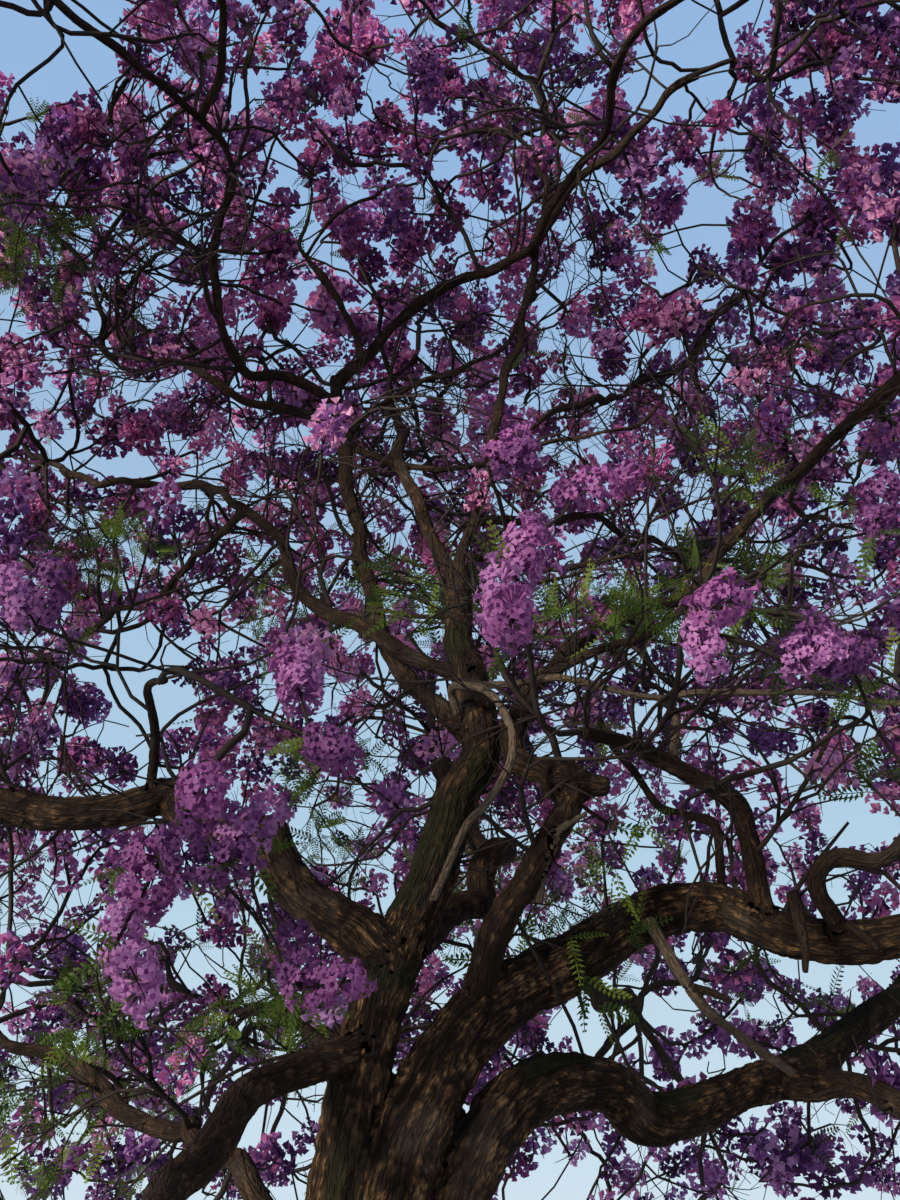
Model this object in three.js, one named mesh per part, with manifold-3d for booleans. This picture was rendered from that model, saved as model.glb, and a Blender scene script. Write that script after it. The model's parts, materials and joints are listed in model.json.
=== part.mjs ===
// Jacaranda tree in full bloom: an old open-grown tree of several stems from one low trunk.
// Millimetres, +Z up, the trunk's flat cut on the ground at the origin, +Y away from the viewer.
// The limbs are tapering tubes along crooked centrelines. Each ends where it enters a mass of
// blossom, which keeps to a space of its own and branches by a seeded rule.
import * as THREE from "three";
import { mergeVertices } from "three/addons/utils/BufferGeometryUtils.js";
import Module from "manifold-3d";

const wasm = await Module();
wasm.setup();

// Trunk: height to the crotch of the stems, half widths along X and Y, the root flare and its
// lobes, and the cup in which the crotch narrows
const TRUNK_HEIGHT = 1800;
const TRUNK_HALF_X = 410;
const TRUNK_HALF_Y = 350;
const TRUNK_LEAN = new THREE.Vector3(120, 10, 0);
const FLARE_REACH = 0.42;
const FLARE_HEIGHT = 330;
const FLARE_LOBES = 5;
const LOBE_DEPTH = 0.3;
const LOBE_TURN = 0.6;
const TRUNK_TAPER = 0.08;
const CUP_FROM = 0.8;
const CUP_WIDTH = 0.45;
const TRUNK_SIDES = 15;
const TRUNK_SLICES = 7;

// Limbs: clearance between pieces, swelling at the foot, and how finely the tubes are cut
const CLEARANCE = 0.3;
const COLLAR_SWELL = 0.22;
const COLLAR_REACH = 2.2;
const THICK_RADIUS = 100;
const THICK_SIDES = 8;
const THIN_SIDES = 6;
const STEP_LENGTH = 640;
const SWAY_WAVE = 1500;

// Masses: where their sprays may stand, the share that are blossom, and their sizes
const INNER_SHARE = 0.35;
const OUTER_SHARE = 0.9;
const FIRST_SEED = 100;
const SPRAYS = 18;
const PLACES_TRIED = 24;
const SPRAY_GAP = 1050;
const CELL_MARGIN = 40;
const LIMB_MARGIN = 45;
const BALL_STEP = 120;
const BLOSSOM_SHARE = 0.6;
const BLOSSOM_LENGTH = 1040;
const BLOSSOM_WIDTH = 740;
const LEAF_LENGTH = 1000;
const LEAF_WIDTH = 480;
const LEAF_THICKNESS = 60;
const SPRAY_LEAN = 0.8;
const TWIG_TIP = 11;
const TWIG_SHARE = 0.46;
const TWIG_SIDES = 3;
const TWIG_ROOM = 30;
const WAY_TESTS = 6;
const STEM_LENGTH = 260;
const STEM_SIDES = 5;
const STEM_SHARE = 0.9;
const PATH_COST = 0.35;
const ROOT_SINK = 0.8;

// Colours and finishes of the three kinds of piece
const LOOKS = {
  bark: { color: 0x4a3529, roughness: 0.9, metalness: 0 },
  youngBark: { color: 0x5d4a3c, roughness: 0.85, metalness: 0 },
  blossom: { color: 0x8a4fa3, roughness: 0.7, metalness: 0 },
};

// The limbs, each after its parent: how far along the parent it starts, the bends it passes,
// its tip, its radius at foot and tip, and how far it sways from a smooth line
const LIMBS = {
  stem_left: {
    from: "trunk", foot: [-110, 0, 1150], bends: [[90, 30, 2790], [430, 150, 3910], [610, 220, 4450]],
    tip: [460, 300, 5700], radius: [165, 80], sway: 20,
  },
  stem_right: {
    from: "trunk", foot: [60, -60, 1150],
    bends: [[280, 0, 2510], [930, 300, 3240], [1790, 550, 3650], [2620, 200, 3400]],
    tip: [5000, 100, 4450], radius: [180, 62], sway: 25,
  },
  stem_low: {
    from: "trunk", foot: [170, 60, 1150],
    bends: [[600, 100, 2490], [1130, 500, 2750], [1700, 800, 2700], [3190, 1800, 3540]],
    tip: [4500, 2900, 4300], radius: [155, 55], sway: 30,
  },
  bough_left: {
    from: "stem_left", at: 0.44, bends: [[-310, -50, 3590], [-850, 0, 3960], [-1890, 200, 4070]],
    tip: [-4700, 600, 4900], radius: [112, 50], sway: 60,
  },
  bough_front_low: {
    from: "stem_left", at: 0.36,
    bends: [[-290, -500, 2540], [-370, -1250, 2130], [-450, -1900, 1900], [-1100, -2900, 2050]],
    tip: [-2600, -3700, 3500], radius: [70, 42], sway: 15,
  },
  bough_twisted: {
    from: "stem_right", at: 0.27,
    bends: [[660, 0, 3320], [830, -100, 3570], [1040, -100, 4000], [800, 0, 4210]],
    tip: [800, 130, 4480], radius: [70, 70], sway: 0,
  },
  bough_right_upper: {
    from: "bough_twisted", at: 0.99, bends: [[1180, 400, 5180], [2110, 400, 5800]],
    tip: [3550, 150, 7300], radius: [58, 40], sway: 60,
  },
  bough_arched: {
    from: "stem_right", at: 0.54, bends: [[1940, 150, 3880], [1800, 0, 4060], [1460, -150, 4210]],
    tip: [1080, -450, 4130], radius: [60, 32], sway: 20,
  },
  bough_loop: {
    from: "stem_right", at: 0.585, bends: [[2260, -80, 3600], [2560, -320, 3720]],
    tip: [3700, -2200, 4500], radius: [42, 32], sway: 60,
  },
  bough_low_fork: {
    from: "stem_low", at: 0.5, bends: [[2470, 880, 2830], [2700, 350, 2560], [3600, -300, 2700]],
    tip: [4400, -900, 3200], radius: [68, 36], sway: 50,
  },
  bough_near_right: {
    from: "bough_right_upper", at: 0.12, bends: [[1360, -300, 4750]],
    tip: [1650, -750, 4700], radius: [28, 20], sway: 30,
  },
  bough_near_left: {
    from: "bough_left", at: 0.3, bends: [[-1000, -450, 4330]],
    tip: [-800, -900, 4150], radius: [26, 18], sway: 30,
  },
  bough_back_centre: {
    from: "stem_left", at: 0.46, bends: [[580, 800, 3770], [720, 1200, 4230], [500, 2700, 5400]],
    tip: [300, 4300, 6700], radius: [85, 42], sway: 70,
  },
  bough_back_low: {
    from: "stem_right", at: 0.36, bends: [[1150, 1500, 3600], [1600, 3200, 3950]],
    tip: [2100, 4900, 4300], radius: [75, 45], sway: 40,
  },
  bough_back: {
    from: "stem_left", at: 0.3, bends: [[-50, 1200, 3000], [-400, 2800, 3600]],
    tip: [-1500, 5000, 4400], radius: [80, 45], sway: 40,
  },
  bough_back_left: {
    from: "stem_left", at: 0.17, bends: [[-700, 900, 2560], [-1320, 1500, 2880]],
    tip: [-3700, 2900, 4200], radius: [60, 38], sway: 40,
  },
  bough_left_mid: {
    from: "stem_left", at: 0.82,
    bends: [[-70, 400, 5300], [-640, 800, 6000], [-1260, 1200, 7120], [-2310, 1700, 7660]],
    tip: [-2990, 2000, 8170], radius: [48, 30], sway: 40,
  },
  bough_upright: {
    from: "stem_left", at: 0.72, bends: [[60, 560, 5300], [-160, 700, 6220], [-270, 800, 7060]],
    tip: [-400, 800, 7860], radius: [60, 50], sway: 25,
  },
  bough_high_right: {
    from: "bough_upright", at: 0.98, bends: [[70, 600, 8390], [1000, 200, 8710], [1770, -300, 9380]],
    tip: [2400, -600, 9850], radius: [46, 27], sway: 40,
  },
  bough_far_left: {
    from: "bough_upright", at: 0.86,
    bends: [[-680, 820, 7570], [-1210, 800, 7710], [-1740, 800, 8120], [-2220, 750, 8230]],
    tip: [-2400, 700, 8800], radius: [35, 24], sway: 15,
  },
  bough_high_back: {
    from: "stem_left", at: 0.97, bends: [[160, 600, 6620], [110, 1000, 7600]],
    tip: [-100, 1800, 8900], radius: [46, 27], sway: 20,
  },
  bough_top: {
    from: "stem_left", at: 0.99, bends: [[720, 300, 6770], [930, 300, 7900], [1210, 200, 9200]],
    tip: [1260, 150, 10000], radius: [38, 25], sway: 25,
  },
  bough_high_far: {
    from: "bough_top", at: 0.25, bends: [[2100, 1200, 8290]],
    tip: [2900, 1200, 9300], radius: [30, 22], sway: 60,
  },
  bough_right_back: {
    from: "bough_top", at: 0.1, bends: [[1600, 1400, 6900]],
    tip: [2600, 2700, 7600], radius: [34, 25], sway: 70,
  },
  bough_front_left: {
    from: "bough_upright", at: 0.93,
    bends: [
      [-700, 700, 7740], [-980, 450, 7560], [-1150, 150, 7700], [-1290, -100, 8090],
      [-1210, -400, 8270], [-1080, -800, 8440],
    ],
    tip: [-1900, -1900, 8300], radius: [38, 25], sway: 15,
  },
  bough_front_right: {
    from: "bough_high_right", at: 0.5, bends: [[1700, -1400, 8700]],
    tip: [2500, -2500, 8400], radius: [30, 22], sway: 60,
  },
  bough_front: {
    from: "bough_front_left", at: 0.72, bends: [[-950, -1600, 8500], [-750, -2800, 8200]],
    tip: [-300, -4100, 7400], radius: [28, 22], sway: 40,
  },
  bough_left_front: {
    from: "bough_left", at: 0.55, bends: [[-3100, -500, 4900]],
    tip: [-4000, -1600, 5500], radius: [42, 28], sway: 60,
  },
  bough_left_back: {
    from: "bough_left_mid", at: 0.5, bends: [[-2000, 2200, 6900]],
    tip: [-3000, 3200, 7000], radius: [34, 25], sway: 60,
  },
  bough_right_front: {
    from: "stem_right", at: 0.8, bends: [[4300, -900, 4900]],
    tip: [5000, -2000, 5800], radius: [45, 28], sway: 60,
  },
};

// The masses of foliage: the limb that carries each, its centre, and its half width and height.
// Those that hang near the trunk have fewer and smaller sprays.
const MASSES = {
  mass_right: { on: "stem_right", centre: [6300, 300, 5100], half: [2000, 1600] },
  mass_right_back_low: { on: "stem_low", centre: [5600, 3800, 4900], half: [2100, 1700] },
  mass_left: { on: "bough_left", centre: [-5900, 700, 5500], half: [2100, 1700] },
  mass_front_left_low: { on: "bough_front_low", centre: [-3600, -4500, 4400], half: [2100, 1700] },
  mass_right_upper: { on: "bough_right_upper", centre: [4700, 500, 8100], half: [2000, 1600] },
  mass_near_centre: {
    on: "bough_arched", centre: [750, -1250, 4300], half: [850, 900], sprays: 9, size: 0.45,
  },
  mass_front_right_low: { on: "bough_loop", centre: [4300, -3500, 5200], half: [1900, 1600] },
  mass_right_low: { on: "bough_low_fork", centre: [5300, -1500, 3300], half: [1500, 1000] },
  mass_near_right: {
    on: "bough_near_right", centre: [2150, -1150, 4500], half: [850, 800], sprays: 9, size: 0.45,
  },
  mass_near_left: {
    on: "bough_near_left", centre: [-600, -1200, 3500], half: [950, 950], sprays: 9, size: 0.45,
  },
  mass_back: { on: "bough_back_centre", centre: [200, 5500, 7800], half: [2300, 1700] },
  mass_back_right_low: { on: "bough_back_low", centre: [2300, 6200, 4900], half: [2200, 1700] },
  mass_back_left_low: { on: "bough_back", centre: [-1900, 6300, 5100], half: [2200, 1700] },
  mass_left_back_low: { on: "bough_back_left", centre: [-4900, 3900, 5000], half: [2200, 1700] },
  mass_left_upper: { on: "bough_left_mid", centre: [-4000, 1500, 8500], half: [1900, 1600] },
  mass_high_right: { on: "bough_high_right", centre: [3200, -1000, 10200], half: [1700, 1300] },
  mass_high_left: { on: "bough_far_left", centre: [-2200, 500, 10000], half: [1800, 1400] },
  mass_high_back: { on: "bough_high_back", centre: [-300, 2700, 10000], half: [2000, 1500] },
  mass_top: { on: "bough_top", centre: [1000, 300, 11000], half: [1800, 1300] },
  mass_high_far: { on: "bough_high_far", centre: [3200, 1900, 10000], half: [1800, 1400] },
  mass_back_right: { on: "bough_right_back", centre: [3400, 3900, 8000], half: [2100, 1600] },
  mass_front_left: { on: "bough_front_left", centre: [-2800, -2000, 8900], half: [2000, 1500] },
  mass_front_right: { on: "bough_front_right", centre: [2900, -3500, 8600], half: [1900, 1400] },
  mass_front: { on: "bough_front", centre: [-200, -5000, 7200], half: [2100, 1500] },
  mass_left_front: { on: "bough_left_front", centre: [-5000, -2100, 6300], half: [1900, 1500] },
  mass_left_back: { on: "bough_left_back", centre: [-3400, 4300, 7500], half: [2100, 1600] },
  mass_right_front: { on: "bough_right_front", centre: [5700, -2500, 6700], half: [1800, 1400] },
};

const group = new THREE.Group();
const toVector = (point) => new THREE.Vector3(...point);

// A small seeded generator, the same numbers on every run
function seeded(seed) {
  let state = seed >>> 0;
  return function next() {
    state = (state + 0x6d2b79f5) >>> 0;
    let mixed = Math.imul(state ^ (state >>> 15), 1 | state);
    mixed = (mixed + Math.imul(mixed ^ (mixed >>> 7), 61 | mixed)) ^ mixed;
    return ((mixed ^ (mixed >>> 14)) >>> 0) / 4294967296;
  };
}

// Solids and meshes

function toSolid(geometry) {
  const plain = geometry.clone();
  plain.deleteAttribute("normal");
  plain.deleteAttribute("uv");
  const merged = mergeVertices(plain, 1e-3);
  return new wasm.Manifold(
    new wasm.Mesh({
      numProp: 3,
      vertProperties: new Float32Array(merged.attributes.position.array),
      triVerts: new Uint32Array(merged.index.array),
    }),
  );
}

// The largest closed piece: loose scraps go, and a hollow that fusing sealed is filled
function mainPiece(solid) {
  const pieces = solid.decompose();
  return pieces.reduce((best, piece) => (piece.volume() > best.volume() ? piece : best));
}

function toGeometry(solid) {
  const mesh = solid.getMesh();
  const geometry = new THREE.BufferGeometry();
  geometry.setAttribute("position", new THREE.BufferAttribute(new Float32Array(mesh.vertProperties), 3));
  geometry.setIndex(new THREE.BufferAttribute(new Uint32Array(mesh.triVerts), 1));
  geometry.computeVertexNormals();
  return geometry;
}

function addPiece(name, solid, look) {
  const piece = new THREE.Mesh(toGeometry(solid), new THREE.MeshStandardMaterial(look));
  piece.name = name;
  group.add(piece);
}

// A straight prism of unit length, which the limbs bend on to their centrelines
function unitPrism(sides, steps) {
  const outline = new THREE.Shape();
  for (let i = 0; i < sides; i += 1) {
    const angle = (2 * Math.PI * i) / sides;
    const move = i === 0 ? "moveTo" : "lineTo";
    outline[move](Math.cos(angle), Math.sin(angle));
  }
  outline.closePath();
  return new THREE.ExtrudeGeometry(outline, { depth: 1, steps, bevelEnabled: false });
}

// A tube along a curve whose radius follows radiusAt(share, length), grown all round if asked
function bentTube(curve, sides, steps, radiusAt, grow = 0) {
  const geometry = unitPrism(sides, steps);
  const frames = curve.computeFrenetFrames(steps, false);
  const length = curve.getLength();
  const position = geometry.attributes.position;
  const point = new THREE.Vector3();
  for (let i = 0; i < position.count; i += 1) {
    const share = position.getZ(i);
    const ring = Math.round(share * steps);
    const radius = radiusAt(share, length) + grow;
    const lid = (share === 1 ? grow : 0) - (share === 0 ? grow : 0);
    curve.getPointAt(share, point).addScaledVector(frames.tangents[ring], lid);
    point.addScaledVector(frames.normals[ring], position.getX(i) * radius);
    point.addScaledVector(frames.binormals[ring], position.getY(i) * radius);
    position.setXYZ(i, point.x, point.y, point.z);
  }
  return toSolid(geometry);
}

// A smooth line through the limb's few points, with a sway that dies out at both ends
class LimbCurve extends THREE.Curve {
  constructor(points, sway, turn) {
    super();
    this.line = new THREE.CatmullRomCurve3(points, false, "catmullrom", 0.5);
    this.sway = sway;
    this.turn = turn;
    this.waves = Math.max(1, Math.round(this.line.getLength() / SWAY_WAVE));
  }

  getPoint(share, target = new THREE.Vector3()) {
    const swing = 2 * Math.PI * this.waves * share + this.turn;
    const size = this.sway * Math.sin(Math.PI * share);
    this.line.getPoint(share, target);
    target.x += size * Math.sin(swing);
    target.y += size * Math.sin(swing * 0.7 + 2);
    target.z += size * Math.cos(swing);
    return target;
  }
}

// The trunk: level slices, a flare of blunt lobes at the ground and a domed crotch at the top
function trunkRadius(height, angle) {
  const lobes = 1 + LOBE_DEPTH * Math.cos(FLARE_LOBES * angle + LOBE_TURN);
  const flare = FLARE_REACH * Math.exp(-height / FLARE_HEIGHT) * lobes;
  const share = height / TRUNK_HEIGHT;
  const over = Math.max(0, share - CUP_FROM) / (1 - CUP_FROM);
  return (1 + flare - TRUNK_TAPER * share) * (1 - (1 - CUP_WIDTH) * over ** 2);
}

function trunkSolid(grow = 0) {
  const geometry = unitPrism(TRUNK_SIDES, TRUNK_SLICES);
  const position = geometry.attributes.position;
  for (let i = 0; i < position.count; i += 1) {
    const share = position.getZ(i);
    const height = TRUNK_HEIGHT * share ** 1.25;
    const angle = Math.atan2(position.getY(i), position.getX(i));
    const wide = trunkRadius(height, angle);
    const x = position.getX(i) * (TRUNK_HALF_X * wide + grow) + TRUNK_LEAN.x * share;
    const y = position.getY(i) * (TRUNK_HALF_Y * wide + grow) + TRUNK_LEAN.y * share;
    position.setXYZ(i, x, y, height + (share === 1 ? grow : 0));
  }
  return toSolid(geometry);
}

// The limbs, each cut clear of the trunk and of every limb made before it
const limbs = {};

function limbRadius(limb) {
  const [foot, tip] = limb.radius;
  return function radiusAt(share, length) {
    const collar = COLLAR_SWELL * foot * Math.exp((-share * length) / (COLLAR_REACH * foot));
    return foot + (tip - foot) * share + collar;
  };
}

function makeLimb(name, limb, number) {
  const parent = limbs[limb.from];
  const start = limb.foot ? toVector(limb.foot) : parent.curve.getPointAt(limb.at);
  const points = [start, ...limb.bends.map(toVector), toVector(limb.tip)];
  const curve = new LimbCurve(points, limb.sway, number * 1.7);
  const length = curve.getLength();
  const steps = Math.max(3, Math.round(length / STEP_LENGTH));
  const sides = limb.radius[0] > THICK_RADIUS ? THICK_SIDES : THIN_SIDES;
  const radiusAt = limbRadius(limb);
  limbs[name] = { curve, radiusAt, length };
  return {
    raw: bentTube(curve, sides, steps, radiusAt),
    grown: bentTube(curve, sides, steps, radiusAt, 2 * CLEARANCE),
  };
}

function boxesMeet(a, b) {
  const one = a.boundingBox();
  const two = b.boundingBox();
  return [0, 1, 2].every((axis) => one.min[axis] <= two.max[axis] && two.min[axis] <= one.max[axis]);
}

function buildWood() {
  const trunk = trunkSolid();
  addPiece("trunk", trunk, LOOKS.bark);
  const grown = [trunkSolid(2 * CLEARANCE)];
  Object.entries(LIMBS).forEach(([name, limb], number) => {
    const made = makeLimb(name, limb, number);
    const near = grown.filter((other) => boxesMeet(other, made.raw));
    const solid = near.reduce((left, other) => left.subtract(other), made.raw);
    grown.push(made.grown);
    addPiece(name, mainPiece(solid), limb.radius[0] > THICK_RADIUS ? LOOKS.bark : LOOKS.youngBark);
  });
}

// A mass's own space: inside its ellipsoid and nearer to its centre than to any other
const centres = {};
for (const [name, mass] of Object.entries(MASSES)) {
  centres[name] = toVector(mass.centre);
}

function roomInCell(name, point) {
  const own = centres[name];
  let room = Infinity;
  for (const [other, centre] of Object.entries(centres)) {
    if (other !== name) {
      const further = point.distanceToSquared(centre) - point.distanceToSquared(own);
      room = Math.min(room, further / (2 * own.distanceTo(centre)));
    }
  }
  return room;
}

// Every limb as a string of balls, for testing how near a twig or spray comes
function limbBalls() {
  const balls = [];
  for (const [name, limb] of Object.entries(limbs)) {
    const count = Math.ceil(limb.length / BALL_STEP);
    for (let i = 0; i <= count; i += 1) {
      const share = i / count;
      const radius = limb.radiusAt(share, limb.length);
      balls.push({ name, centre: limb.curve.getPointAt(share), radius });
    }
  }
  return balls;
}

function clearOfLimbs(point, radius, balls, carrier) {
  return balls.every((ball) => {
    const skip = ball.name === carrier ? 0 : LIMB_MARGIN;
    return point.distanceTo(ball.centre) > ball.radius + radius + skip;
  });
}

// A random place in the outer part of a mass's ellipsoid
function placeInMass(mass, next) {
  const turn = 2 * Math.PI * next();
  const rise = 2 * next() - 1;
  const share = Math.cbrt(INNER_SHARE ** 3 + (OUTER_SHARE ** 3 - INNER_SHARE ** 3) * next());
  const [wide, high] = mass.half;
  const level = Math.sqrt(1 - rise * rise) * share * wide;
  const place = new THREE.Vector3(level * Math.cos(turn), level * Math.sin(turn), rise * share * high);
  return place.add(toVector(mass.centre));
}

// Where the sprays of a mass stand: each takes the emptiest of some places tried for it
function sprayPoints(name, mass, next, balls) {
  const { sprays = SPRAYS, size = 1 } = mass;
  const room = (BLOSSOM_WIDTH / 2) * size;
  const points = [];
  for (let i = 0; i < sprays; i += 1) {
    let best = null;
    let widest = SPRAY_GAP * size;
    for (let j = 0; j < PLACES_TRIED; j += 1) {
      const place = placeInMass(mass, next);
      const gap = Math.min(2 * mass.half[0], ...points.map((point) => point.distanceTo(place)));
      const inCell = roomInCell(name, place) > room + CELL_MARGIN;
      if (inCell && gap > widest && clearOfLimbs(place, room, balls, mass.on)) {
        widest = gap;
        best = place;
      }
    }
    if (best) {
      points.push(best);
    }
  }
  return points;
}

// Whether a straight twig stays in its own space and off every limb
function clearWay(name, from, to, balls, carrier) {
  for (let i = 1; i <= WAY_TESTS; i += 1) {
    const point = from.clone().lerp(to, i / WAY_TESTS);
    const inCell = roomInCell(name, point) > CELL_MARGIN + TWIG_ROOM;
    if (!inCell || !clearOfLimbs(point, TWIG_ROOM, balls, carrier)) {
      return false;
    }
  }
  return true;
}

// Twigs: each spray joins the twig that gives it the shortest way back to the stem
function growTwigs(root, fork, points, isClear) {
  const stem = { point: root, way: 0, parent: null, carried: 0 };
  const nodes = [{ point: fork, way: 0, parent: stem, carried: 0 }];
  const order = [...points].sort((a, b) => a.distanceTo(fork) - b.distanceTo(fork));
  for (const point of order) {
    const cost = (node) => node.point.distanceTo(point) * (1 + PATH_COST) + PATH_COST * node.way;
    const ranked = [...nodes].sort((a, b) => cost(a) - cost(b));
    const parent = ranked.find((node) => isClear(node.point, point));
    if (parent) {
      const way = parent.way + parent.point.distanceTo(point);
      nodes.push({ point, way, parent, carried: 0, spray: true });
    }
  }
  nodes.filter((node) => node.spray).forEach((node) => {
    for (let up = node; up; up = up.parent) {
      up.carried += 1;
    }
  });
  return nodes;
}

function twigRadius(carried) {
  return TWIG_TIP * Math.max(1, carried) ** TWIG_SHARE;
}

// A straight three-sided twig, its ends sunk into its neighbours
function twigSolid(from, to, radius) {
  const along = to.clone().sub(from).normalize();
  const start = from.clone().addScaledVector(along, -ROOT_SINK * radius);
  return bentTube(new THREE.LineCurve3(start, to), TWIG_SIDES, 1, () => radius);
}

// The stem of a mass carries on from its limb's tip
function stemSolid(root, fork, radius) {
  const far = fork.clone().lerp(root, -0.1);
  return bentTube(new THREE.LineCurve3(root, far), STEM_SIDES, 1, () => STEM_SHARE * radius);
}

// A head of blossom or a spray of leaves: eight faces, longer than wide, along its twig
function spraySolid(point, along, blossom, scale, next) {
  const size = scale * (0.85 + 0.3 * next());
  const geometry = new THREE.OctahedronGeometry(1, 0);
  const wide = blossom ? BLOSSOM_WIDTH : LEAF_WIDTH;
  const thick = blossom ? BLOSSOM_WIDTH : LEAF_THICKNESS;
  const long = blossom ? BLOSSOM_LENGTH : LEAF_LENGTH;
  geometry.scale((wide / 2) * size, (thick / 2) * size, (long / 2) * size);
  const upright = new THREE.Vector3(0, 0, 1);
  const axis = along.clone().multiplyScalar(SPRAY_LEAN).add(upright).normalize();
  const turn = new THREE.Quaternion().setFromUnitVectors(upright, axis);
  geometry.rotateZ(next() * Math.PI);
  geometry.applyQuaternion(turn);
  geometry.translate(point.x, point.y, point.z);
  return toSolid(geometry);
}

function buildMass(name, mass, seed, balls) {
  const next = seeded(seed);
  const carrier = limbs[mass.on];
  const heading = carrier.curve.getTangentAt(1);
  const root = carrier.curve.getPointAt(1).addScaledVector(heading, CLEARANCE);
  const fork = root.clone().addScaledVector(heading, STEM_LENGTH);
  const points = sprayPoints(name, mass, next, balls);
  const isClear = (from, to) => clearWay(name, from, to, balls, mass.on);
  const nodes = growTwigs(root, fork, points, isClear);
  const tip = carrier.radiusAt(1, carrier.length);
  const parts = [stemSolid(root, fork, tip)];
  for (const node of nodes.filter((each) => each.spray)) {
    const thick = Math.min(tip, twigRadius(node.carried));
    const along = node.point.clone().sub(node.parent.point).normalize();
    parts.push(twigSolid(node.parent.point, node.point, thick));
    const blossom = node.carried > 1 || next() < BLOSSOM_SHARE;
    parts.push(spraySolid(node.point, along, blossom, mass.size ?? 1, next));
  }
  const joined = wasm.Manifold.union(parts);
  addPiece(name, mainPiece(joined), LOOKS.blossom);
}

buildWood();
const balls = limbBalls();
Object.entries(MASSES).forEach(([name, mass], number) => {
  buildMass(name, mass, FIRST_SEED + number, balls);
});

export default group;
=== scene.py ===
# Jacaranda tree in full bloom, seen looking up into the crown from under it.
# Metres, +Z up, the trunk's flat cut on the ground at the origin, +Y away from the viewer.
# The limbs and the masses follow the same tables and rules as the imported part, which are
# written in millimetres here as there, and carry on from them to finer twigs.

import itertools
import json
import math

import bpy
import numpy as np
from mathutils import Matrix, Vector, kdtree

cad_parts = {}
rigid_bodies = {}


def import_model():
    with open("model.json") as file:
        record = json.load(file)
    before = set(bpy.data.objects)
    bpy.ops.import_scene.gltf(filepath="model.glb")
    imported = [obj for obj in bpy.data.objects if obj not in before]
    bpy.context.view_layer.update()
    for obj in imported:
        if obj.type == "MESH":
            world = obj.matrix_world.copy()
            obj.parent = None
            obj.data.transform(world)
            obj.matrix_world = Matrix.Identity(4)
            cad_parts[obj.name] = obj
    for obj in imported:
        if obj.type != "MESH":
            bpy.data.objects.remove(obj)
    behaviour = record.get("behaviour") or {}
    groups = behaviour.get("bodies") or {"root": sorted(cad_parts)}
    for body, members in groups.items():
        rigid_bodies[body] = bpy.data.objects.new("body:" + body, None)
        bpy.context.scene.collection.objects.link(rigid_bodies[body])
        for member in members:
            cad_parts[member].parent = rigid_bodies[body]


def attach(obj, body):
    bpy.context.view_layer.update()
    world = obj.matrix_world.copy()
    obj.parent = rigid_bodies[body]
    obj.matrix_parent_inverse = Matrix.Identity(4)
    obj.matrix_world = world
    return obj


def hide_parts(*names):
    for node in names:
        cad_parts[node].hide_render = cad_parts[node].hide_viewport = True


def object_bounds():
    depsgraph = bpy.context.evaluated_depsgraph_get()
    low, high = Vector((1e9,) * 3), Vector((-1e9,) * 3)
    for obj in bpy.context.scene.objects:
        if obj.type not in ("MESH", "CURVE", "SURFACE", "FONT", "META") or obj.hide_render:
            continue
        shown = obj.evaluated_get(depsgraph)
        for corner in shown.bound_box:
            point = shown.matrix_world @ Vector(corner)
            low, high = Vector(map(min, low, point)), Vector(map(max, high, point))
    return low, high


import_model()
cad_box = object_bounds()

MM = 0.001
FULL_TURN = 6.28

# Camera: the eye, how far it looks up, and the lens for a portrait picture
EYE = (0.45, -5.0, 1.6)
LOOK_UP = math.radians(36)
LENS = 32.67
SENSOR = 36
PICTURE = (900, 1200)
PICTURE_MIDDLE = (450, 600)
FOCAL = LENS / SENSOR * PICTURE[1]

# The far lamps: where each stands, what it faces, how many degrees wide it looks, its strength
# in watts on a square metre, and its colour
LAMPS = {
    "front_light": ((-10, -10, 7), (0, 0, 4.5), 12, 6, (1, 0.84, 0.68)),
    "side_light": ((14, -6, 12), (0, 0, 6), 25, 0.7, (1, 0.92, 0.84)),
}

# The sky's colour by the height of the direction, 0 level and 1 straight up, and the part of
# its strength that lights the tree
SKY = [
    (0.12, (0.62, 0.765, 0.86)),
    (0.4, (0.44, 0.63, 0.79)),
    (0.68, (0.35, 0.52, 0.745)),
    (0.9, (0.29, 0.47, 0.755)),
]
SKY_LIGHT = 0.48
FLOOR_RADIUS = 400

# Trunk, as in the part
TRUNK_HEIGHT = 1.8
TRUNK_HALF = (0.41, 0.35)
TRUNK_LEAN = (0.12, 0.01)
TRUNK_BELOW = 0.08
TRUNK_WIDE = 0.37
TRUNK_SIDES = 48
TRUNK_CUTS = 17
TRUNK_RINGS = 61
FLARE_REACH = 0.42
FLARE_HEIGHT = 0.33
FLARE_LOBES = 5
LOBE_DEPTH = 0.3
LOBE_TURN = 0.6
TRUNK_TAPER = 0.08
CUP_FROM = 0.8
CUP_WIDTH = 0.45

# Limbs, as in the part
COLLAR_SWELL = 0.22
COLLAR_REACH = 2.2
SWAY_WAVE = 1.5
SWAY_TURN = 1.7
CURVE_MARKS = 200

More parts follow.
